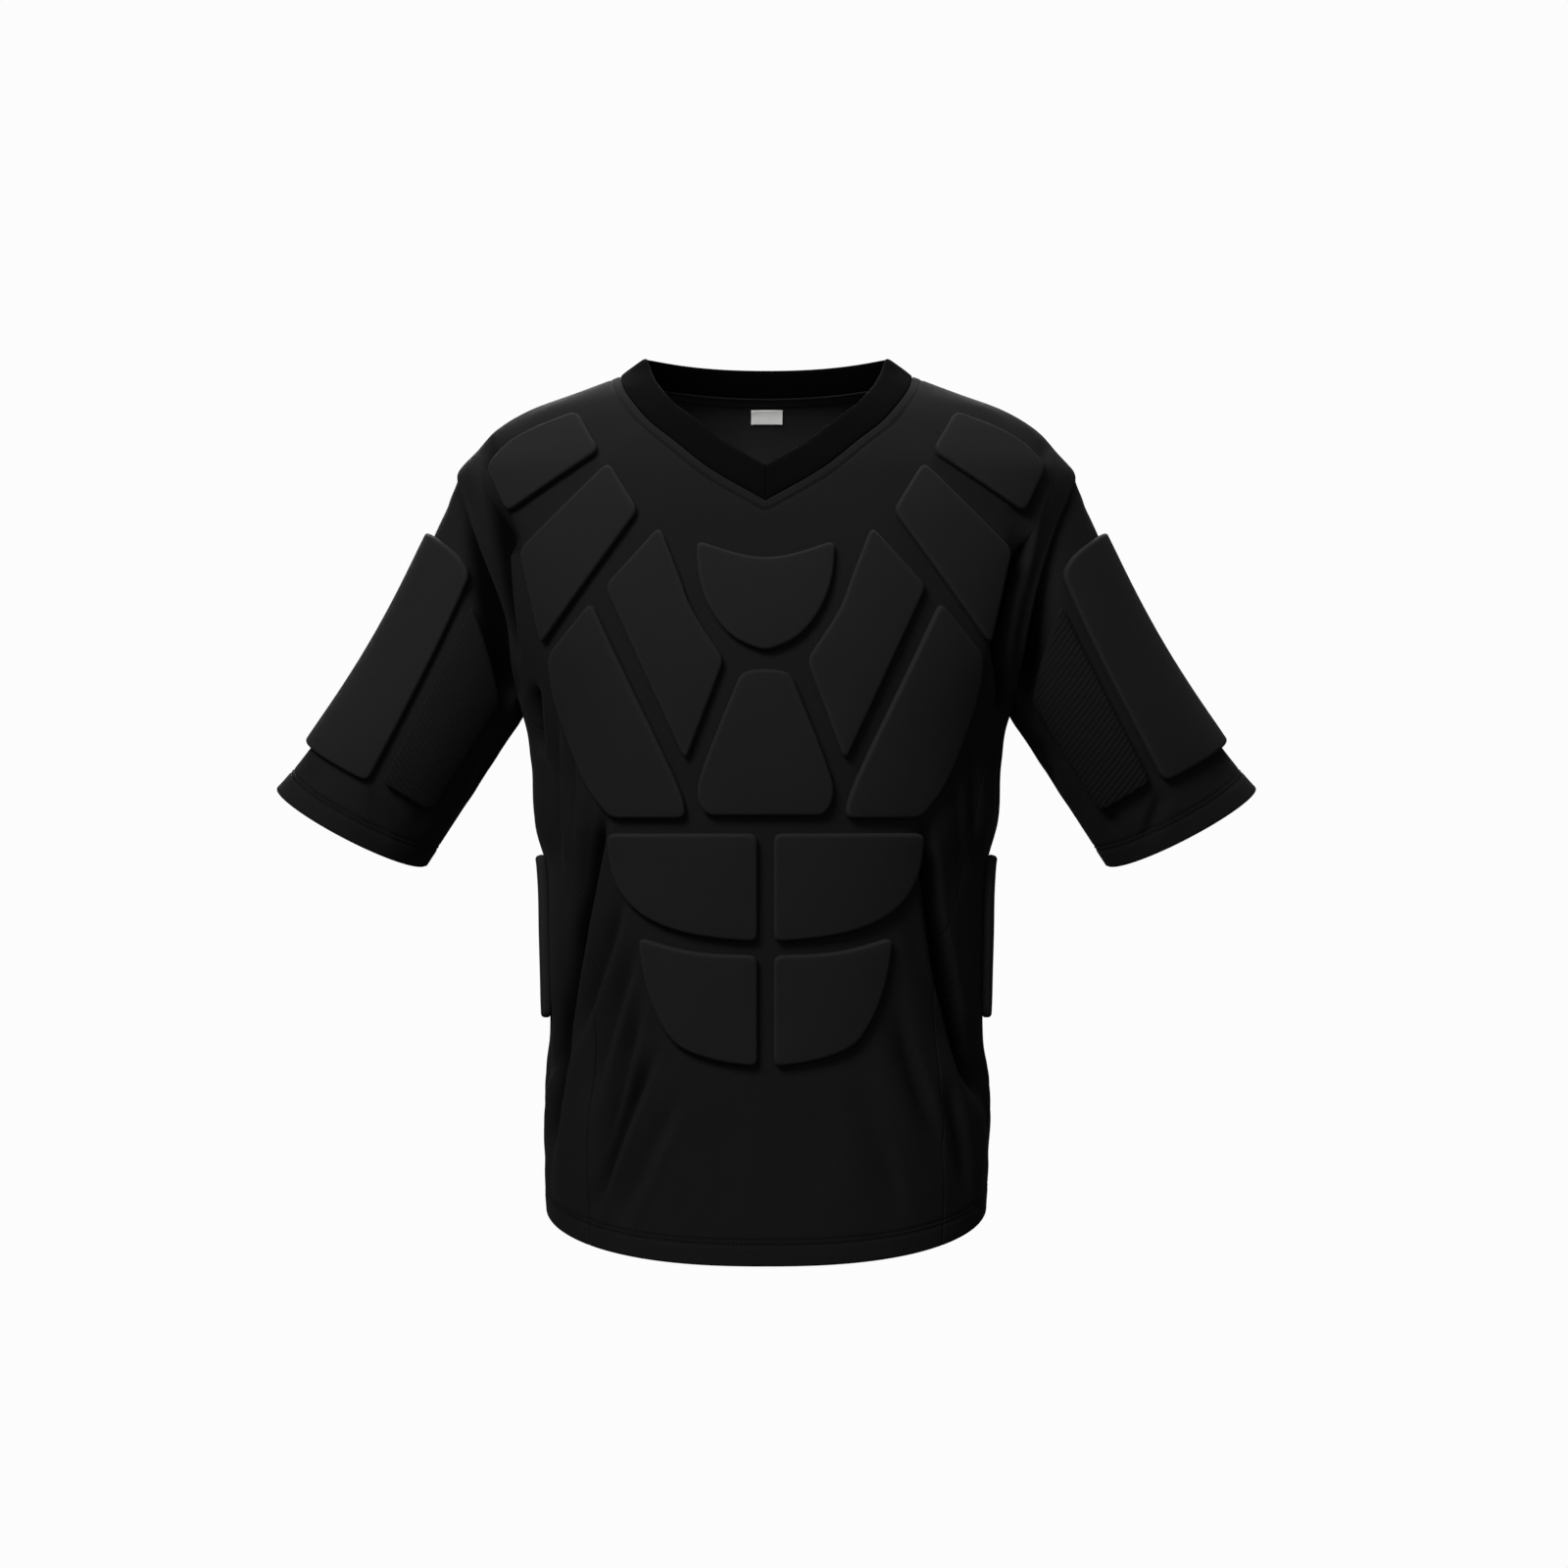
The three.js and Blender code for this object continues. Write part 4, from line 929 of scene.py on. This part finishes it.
u_corner = u_corner[..., [0, 1, 1, 0]]
v_next = np.append(girth[1:], girth[-1] + 1)
v_corner = np.stack([girth, girth, v_next, v_next], -1)[:, None].repeat(columns, 1)
uv = np.stack([u_corner, v_corner], -1) / 1000
collar_mesh.uv_layers.new(name="cloth").data.foreach_set("uv", uv.reshape(-1).copy())
collar = smooth_piece(collar_mesh)
if sum(p.area * p.normal.dot(p.center - collar_mesh.polygons[0].center) for p in collar_mesh.polygons) < 0:
    collar_mesh.flip_normals()
collar_rib = jersey("black rib", (0.0018, 0.0018, 0.0018), wale=0.0021, sheen=0.002, bump=0.5, gloss=0.008)
collar.data.materials.append(collar_rib)
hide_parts("collar")
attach(collar, "root")


def beside_collar(side):
    """The row of stitches on the body beside the collar, one half from V to back."""
    arc = np.linspace(0, NECK_LENGTH, 500)
    point, _, _, out = neck_frame(arc)
    tangent = unit(np.gradient(point, axis=0))
    outside = -unit(np.cross(out, tangent))
    moved = point + outside * COLLAR_STITCH
    face = np.where(moved[:, 1] < 0, -1, 1)
    on_body, normal = torso(turn_of_x(moved[:, 0], moved[:, 2]), moved[:, 2], face, 1)
    kept = moved[:, 0] > 0.2
    line = on_body[kept] - normal[kept] * groove(0.0)
    return line * [side, 1, 1], normal[kept] * [side, 1, 1]


collar_stitches = sew("collar_stitching", [beside_collar(1), beside_collar(-1)])

# The pads
# Soft foam, cut to shape, covered with a matte knit and bonded to the cloth, which shows in channels
# between them. Each edge is pressed round, and the cover is pulled tight to the cloth at its foot.
PAD_WALL = (  # in from the outline, and out of the cloth
    (1.7, 0.1), (1.1, 0.35), (0.5, 0.9), (0.1, 1.7), (0, 2.6), (0, 3.8),
)
PAD_EDGE = (0.12, 0.35, 0.7, 1.15, 1.7, 2.4, 3.4, 5.0, 7.5)  # steps in from the outline over the edge
PAD_HEIGHT = 6.9
PAD_ROUND = 2.6  # radius of the pressed edge
PAD_RINGS = (0.9, 0.8, 0.69, 0.57, 0.45, 0.33, 0.21, 0.1)  # shares of the last step's outline
PAD_DOME = 0.9
PAD_DOME_REACH = 12
PAD_CORNER = 6.5  # how far a corner's round runs along its sides
PAD_SLIGHT_BEND = math.radians(38)  # below this a corner is rounded as far as it can be
PAD_FOOT = 0.15  # clear of the cloth
PAD_STEP = 2.4  # between points of the outline
FRONT_PADS = (  # corners in x and height, of the wearer's left one
    ("shoulder_top", ((142, -36), (190, -54), (209, -77), (192, -112), (124, -67))),
    ("shoulder_front", ((117, -76), (182, -140), (165, -211), (94, -113))),
    ("chest_inner", ((78, -125), (118, -169), (58, -298), (30, -224), (55, -187), (63, -163))),
    ("chest_outer", ((128, -180), (160, -219), (157, -246), (146, -278), (132, -316), (113, -340),
                     (58, -340), (59, -326), (76, -288), (98, -243))),
    ("abs_upper", ((6, -351), (116, -351), (113, -379), (104, -399), (88, -414), (64, -424), (36, -429),
                   (6, -431))),
    ("abs_lower", ((6, -441), (46, -440), (70, -435), (93, -428), (89, -459), (80, -486), (69, -505),
                   (56, -514), (32, -521), (6, -524))),
)
MIDDLE_PADS = (
    ("sternum", ((0, -149), (18, -147), (51, -136), (50, -163), (41, -188), (24, -209), (0, -218))),
    ("centre_chest", ((0, -230), (18, -233), (49, -309), (50, -326), (43, -338), (0, -338))),
)
RIB_PAD = ((-30, -368), (46, -374), (50, -430), (40, -496), (-27, -494), (-32, -430))
OUTER_ARM_PAD = ((-52, 220), (10, 232), (60, 233), (77, 223), (91, 48), (14, 42), (-60, 40))
INNER_ARM_PAD = ((88, 205), (112, 182), (144, 146), (144, 48), (100, 53))


def pad_outline(corners):
    """The outline with its corners rounded: slight ones run into one another as one curve."""
    corners = np.array(corners, float)
    before, after = np.roll(corners, 1, 0), np.roll(corners, -1, 0)
    back, ahead = before - corners, after - corners
    back_length, ahead_length = np.linalg.norm(back, axis=1), np.linalg.norm(ahead, axis=1)
    bend = np.pi - np.arccos(np.clip((back * ahead).sum(1) / back_length / ahead_length, -1, 1))
    curve = []
    for i, corner in enumerate(corners):
        slight = bend[i] < PAD_SLIGHT_BEND
        most = 0.49 if slight else 0.45
        wanted = 60 if slight else PAD_CORNER
        start = corner + back[i] / back_length[i] * min(wanted, most * back_length[i])
        end = corner + ahead[i] / ahead_length[i] * min(wanted, most * ahead_length[i])
        for t in np.linspace(0, 1, 9):
            curve.append(start * (1 - t) ** 2 + corner * 2 * t * (1 - t) + end * t * t)
    curve = np.array(curve)
    closed = np.vstack([curve, curve[:1]])
    arc = arc_lengths(closed)
    count = int(arc[-1] / PAD_STEP)
    outline = read_along(np.linspace(0, arc[-1], count, endpoint=False), arc, closed)
    following = np.roll(outline, -1, 0)
    area = (outline[:, 0] * following[:, 1] - outline[:, 1] * following[:, 0]).sum()
    return outline if area > 0 else outline[::-1]


def moved_in(outline, middle, distance):
    """The outline moved in by a distance, each point on its way to the middle."""
    run = unit(np.roll(outline, -1, 0) - np.roll(outline, 1, 0))
    inward = np.stack([-run[:, 1], run[:, 0]], -1)
    way = unit(middle - outline)
    directness = np.maximum(0.45, (way * inward).sum(1))
    return outline + way * (distance / directness)[:, None]


def pad_height(outline, line):
    """Height of the pad's top at points inside its outline: round at the edge, then a low dome."""
    closed = np.roll(outline, -1, 0) - outline
    offset = line[:, None] - outline[None]
    share = np.clip((offset * closed).sum(-1) / (closed**2).sum(-1), 0, 1)
    gap = np.linalg.norm(offset - closed[None] * share[..., None], axis=-1).min(axis=1)
    inside = np.clip(1 - gap / PAD_ROUND, 0, 1)
    edge = PAD_ROUND * (1 - np.sqrt(np.maximum(0, 1 - inside**2)))
    dome = PAD_DOME * (1 - np.exp(-gap / PAD_DOME_REACH))
    return PAD_HEIGHT - edge + dome, gap


def make_pad(name, corners, place):
    """A pad laid on the cloth; place gives the cloth's point and outward direction at a pad's point."""
    outline = pad_outline(corners)
    count = len(outline)
    middle = outline.mean(axis=0)
    foot = moved_in(outline, middle, PAD_WALL[0][0])
    layers = [(middle + (foot - middle) * share, PAD_FOOT, 0) for share in PAD_RINGS[::-1]]
    # painted highlight: half strength on the wall, and on the top fading in from the pressed edge
    layers += [(moved_in(outline, middle, into), out, 0.5) for into, out in PAD_WALL]
    tops = [moved_in(outline, middle, into) for into in PAD_EDGE]
    tops += [middle + (tops[-1] - middle) * share for share in PAD_RINGS]
    for line in tops:
        height, gap = pad_height(outline, line)
        layers.append((line, height, bell(gap - 0.8, 1.5)))
    layers += [(middle[None], PAD_FOOT, 0), (middle[None], *pad_height(outline, middle[None]))]
    points, flats, edge_highlights = [], [], []
    for line, height, edge_highlight in layers:
        point, normal = place(line[:, 0], line[:, 1])
        points.append(point + normal * np.broadcast_to(height, len(line))[:, None])
        flats.append(line)
        edge_highlights.append(np.broadcast_to(edge_highlight if len(line) > 1 else 0.0, len(line)))
    flat = np.concatenate(flats)
    rings = len(layers) - 2
    around = np.arange(count)
    following = (around + 1) % count
    faces = []
    for ring in range(rings - 1):
        low, high = ring * count, (ring + 1) * count
        faces += np.stack([low + around, low + following, high + following, high + around], -1).tolist()
    poles = rings * count
    faces += np.stack([following, around, np.full(count, poles)], -1).tolist()
    last = poles - count
    faces += np.stack([last + around, last + following, np.full(count, poles + 1)], -1).tolist()
    mesh = bpy.data.meshes.new(name)
    mesh.from_pydata((np.concatenate(points) / 1000).tolist(), [], faces)
    corner_ids = np.zeros(len(mesh.loops), int)
    mesh.loops.foreach_get("vertex_index", corner_ids)
    mesh.uv_layers.new(name="cloth").data.foreach_set("uv", (flat[corner_ids] / 1000).reshape(-1).copy())
    painted_highlight = np.concatenate(edge_highlights).astype(float)
    mesh.attributes.new("edge_highlight", "FLOAT", "POINT").data.foreach_set("value", painted_highlight)
    pad = smooth_piece(mesh)
    if sum(p.area * p.normal.dot(p.center) for p in mesh.polygons) < 0:
        mesh.flip_normals()
    return pad


pad_knit = jersey("black pad cover", (0.0075, 0.0075, 0.0076), wale=0.0009, sheen=0.012, roughness=0.78,
                  bump=0.25, mottle=0.1, gloss=0.04)
tree = pad_knit.node_tree
surface = tree.nodes["Principled BSDF"].inputs
# Painted highlight: the cover's colour turns paler along the pads' edges and walls.
painted_highlight = add_node(tree, "ShaderNodeAttribute", {}, attribute_name="edge_highlight")["Fac"]
highlight_share = add_node(tree, "ShaderNodeMath", {0: painted_highlight, 1: 0.5}, operation="MULTIPLY")[0]
plain = surface["Base Color"].links[0].from_socket
feed(tree, surface, {"Base Color": mix_colour(tree, highlight_share, plain, (0.0135, 0.0135, 0.0138, 1))})


def on_front(side):
    def place(x, z):
        return torso(turn_of_x(x, z), z, -1, side * np.where(x < 0, -1, 1))
    return place


def on_flank(side):
    def place(y, z):
        return torso(turn_of_y(y, z), z, np.where(y > 0, 1, -1), side)
    return place


def on_sleeve(side):
    def place(round_way, up):
        angle = round_way / SLEEVE_RADIUS % (2 * np.pi)
        length = sleeve_base(angle, np.zeros(np.shape(angle)), side)[1]
        return sleeve(angle, 1 - up / length, side)[:2]
    return place


def mirrored(half):
    return half + tuple((-x, z) for x, z in half[-2:0:-1])


pads = [(name, make_pad(f"{name}_cover", mirrored(half), on_front(1))) for name, half in MIDDLE_PADS]
for hand, side in HANDS:
    for name, corners in FRONT_PADS:
        pads.append((f"{name}_{hand}", make_pad(f"{name}_{hand}_cover", corners, on_front(side))))
    pads.append((f"ribs_{hand}", make_pad(f"ribs_{hand}_cover", RIB_PAD, on_flank(side))))
    arm_pad = make_pad(f"sleeve_outer_{hand}_cover", OUTER_ARM_PAD, on_sleeve(side))
    pads.append((f"sleeve_outer_{hand}", arm_pad))
for name, pad in pads:
    pad.data.materials.append(pad_knit)
    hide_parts(f"pad_{name}")
    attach(pad, "root")

# The inner arm pads
# The same foam under an open mesh knit with slanting ribs, on the inside front of each upper arm,
# where the cloth breathes.
arm_mesh = jersey("black arm mesh", (0.0043, 0.0043, 0.0044), wale=0.0012, sheen=0.01, bump=0.3)
tree = arm_mesh.node_tree
surface = tree.nodes["Principled BSDF"].inputs
where = add_node(tree, "ShaderNodeUVMap", {}, uv_map="cloth")[0]
slant = add_node(tree, "ShaderNodeMapping", {"Vector": where, "Rotation": (0, 0, math.radians(-62))})[0]
ribs = add_node(tree, "ShaderNodeTexWave", {"Vector": slant, "Scale": 86, "Distortion": 0.6})["Fac"]
holes = add_node(tree, "ShaderNodeTexVoronoi", {"Vector": slant, "Scale": 520})["Distance"]
open_knit = add_node(tree, "ShaderNodeMath", {0: holes, 1: 0.4, 2: ribs}, operation="MULTIPLY_ADD")[0]
relief = {"Height": open_knit, "Distance": 0.0007, "Strength": 0.5}
relief["Normal"] = surface["Normal"].links[0].from_socket
feed(tree, surface, {"Normal": add_node(tree, "ShaderNodeBump", relief)[0]})
for hand, side in HANDS:
    pad = make_pad(f"sleeve_inner_{hand}_cover", INNER_ARM_PAD, on_sleeve(side))
    pad.data.materials.append(arm_mesh)
    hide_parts(f"pad_sleeve_inner_{hand}")
    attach(pad, "root")

# The neck label
# A small white woven label sewn flat inside the back neck. It is left bare.
LABEL = dict(half_width=12.5, top=-17, bottom=-28, clear=0.25, thickness=0.5)
label_x = np.linspace(-LABEL["half_width"], LABEL["half_width"], 33)
label_z = np.linspace(LABEL["bottom"], LABEL["top"], 15)
grid_x, grid_z = np.meshgrid(label_x, label_z)
on_back, back_normal = torso(turn_of_x(grid_x, grid_z), grid_z, 1, np.where(grid_x < 0, -1, 1))
corner_curl = 0.35 * (np.abs(grid_x) / LABEL["half_width"]) ** 6
face_in = on_back - back_normal * (KNIT + LABEL["clear"] + LABEL["thickness"] + corner_curl)[..., None]
face_out = face_in + back_normal * LABEL["thickness"]
label = make_cloth("neck_label_weave", face_in, face_out, grid_x, grid_z)
label_weave, tree, surface = new_material("white label weave", {"Roughness": 0.6})
where = add_node(tree, "ShaderNodeUVMap", {}, uv_map="cloth")[0]
woven = add_node(tree, "ShaderNodeTexBrick", {
    "Vector": where, "Scale": 900, "Color1": (0.93, 0.93, 0.92, 1), "Color2": (0.88, 0.88, 0.87, 1),
    "Mortar": (0.8, 0.8, 0.79, 1),
})
relief = {"Height": woven["Fac"], "Distance": 0.0001, "Strength": 0.4}
feed(tree, surface, {"Base Color": woven["Color"], "Normal": add_node(tree, "ShaderNodeBump", relief)[0]})
label.data.materials.append(label_weave)
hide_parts("neck_label")
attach(label, "root")

# The stage
# A plain pale floor below the shirt, which fades out into white and throws little light back, with
# soft light from above on the left. The camera is level with the shirt's middle, 2.6 m in front of it.
FLOOR_HEIGHT = -1.6
FLOOR_RADIUS = 3.0
BACKDROP = 0.975  # the white that the camera sees
AIR_LIGHT = 0.13  # light from all round
FLOOR_GLOW = 0.06  # light that the floor throws back
CAMERA_DISTANCE = 2.6
FRAME_WIDTH = 1.2128  # of the picture, at the shirt
SENSOR = 36
bpy.ops.object.select_all(action="DESELECT")
bpy.ops.mesh.primitive_circle_add(
    vertices=96, radius=FLOOR_RADIUS, fill_type="NGON", location=(0, 0, FLOOR_HEIGHT)
)
floor = bpy.context.object
floor.name = "studio_floor"
bpy.ops.object.transform_apply(location=True)
floor_paint, tree, surface = new_material("pale floor", {
    "Base Color": (0.8, 0.8, 0.8, 1), "Roughness": 0.9, "Specular IOR Level": 0.1,
    "Emission Color": (1, 1, 1, 1), "Emission Strength": 0.25,
})
white = add_node(tree, "ShaderNodeEmission", {"Strength": BACKDROP})[0]
dim = add_node(tree, "ShaderNodeEmission", {"Strength": FLOOR_GLOW})[0]
where = add_node(tree, "ShaderNodeTexCoord", {})["Object"]
flat_place = add_node(tree, "ShaderNodeVectorMath", {0: where, 1: (1, 1, 0)}, operation="MULTIPLY")[0]
reach = add_node(tree, "ShaderNodeVectorMath", {0: flat_place}, operation="LENGTH")["Value"]
fading = {"Value": reach, "From Min": 0.8, "From Max": FLOOR_RADIUS}
fade = add_node(tree, "ShaderNodeMapRange", fading, interpolation_type="SMOOTHSTEP")[0]
paint = tree.nodes["Principled BSDF"].outputs[0]
faded = add_node(tree, "ShaderNodeMixShader", {0: fade, 1: paint, 2: white})[0]
seen = add_node(tree, "ShaderNodeLightPath", {})["Is Camera Ray"]
lit = add_node(tree, "ShaderNodeMixShader", {0: seen, 1: dim, 2: faded})[0]
feed(tree, tree.nodes["Material Output"].inputs, {"Surface": lit})
floor.data.materials.append(floor_paint)

studio = bpy.data.worlds.new("studio")
bpy.context.scene.world = studio
studio.use_nodes = True
tree = studio.node_tree
seen = add_node(tree, "ShaderNodeLightPath", {})["Is Camera Ray"]
level = add_node(tree, "ShaderNodeMapRange", {"Value": seen, "To Min": AIR_LIGHT, "To Max": BACKDROP})[0]
feed(tree, tree.nodes["Background"].inputs, {"Color": (1, 1, 1, 1), "Strength": level})


def softbox(name, place, aim, size, power):
    light = bpy.data.lights.new(name, "AREA")
    light.shape = "RECTANGLE"
    light.size, light.size_y = size
    light.energy = power
    lamp = bpy.data.objects.new(name, light)
    lamp.location = place
    away = np.array(place) - np.array(aim)
    yaw = math.atan2(away[1], away[0]) + math.pi / 2
    lamp.rotation_euler = (math.acos(away[2] / np.linalg.norm(away)), 0, yaw)
    bpy.context.collection.objects.link(lamp)
    return lamp


softbox("key_light", (-1.15, -1.95, 1.55), (0, 0, -0.36), (1.2, 1.0), 106)
softbox("front_light", (0.2, -2.8, 0.1), (0, 0, -0.3), (2.2, 1.6), 20)
softbox("top_light", (0.1, 0.35, 1.5), (0, 0, 0), (1.4, 0.8), 34)
softbox("back_light", (-0.2, 2.4, 1.0), (0, 0, -0.3), (1.8, 1.2), 105)

camera_data = bpy.data.cameras.new("camera")
camera_data.sensor_width = SENSOR
camera_data.lens = SENSOR * CAMERA_DISTANCE / FRAME_WIDTH
camera = bpy.data.objects.new("camera", camera_data)
camera.location = (0.0136, -CAMERA_DISTANCE, -0.315)
camera.rotation_euler = (math.radians(90), 0, 0)
bpy.context.collection.objects.link(camera)
bpy.context.scene.camera = camera
bpy.context.scene.view_settings.view_transform = "Standard"
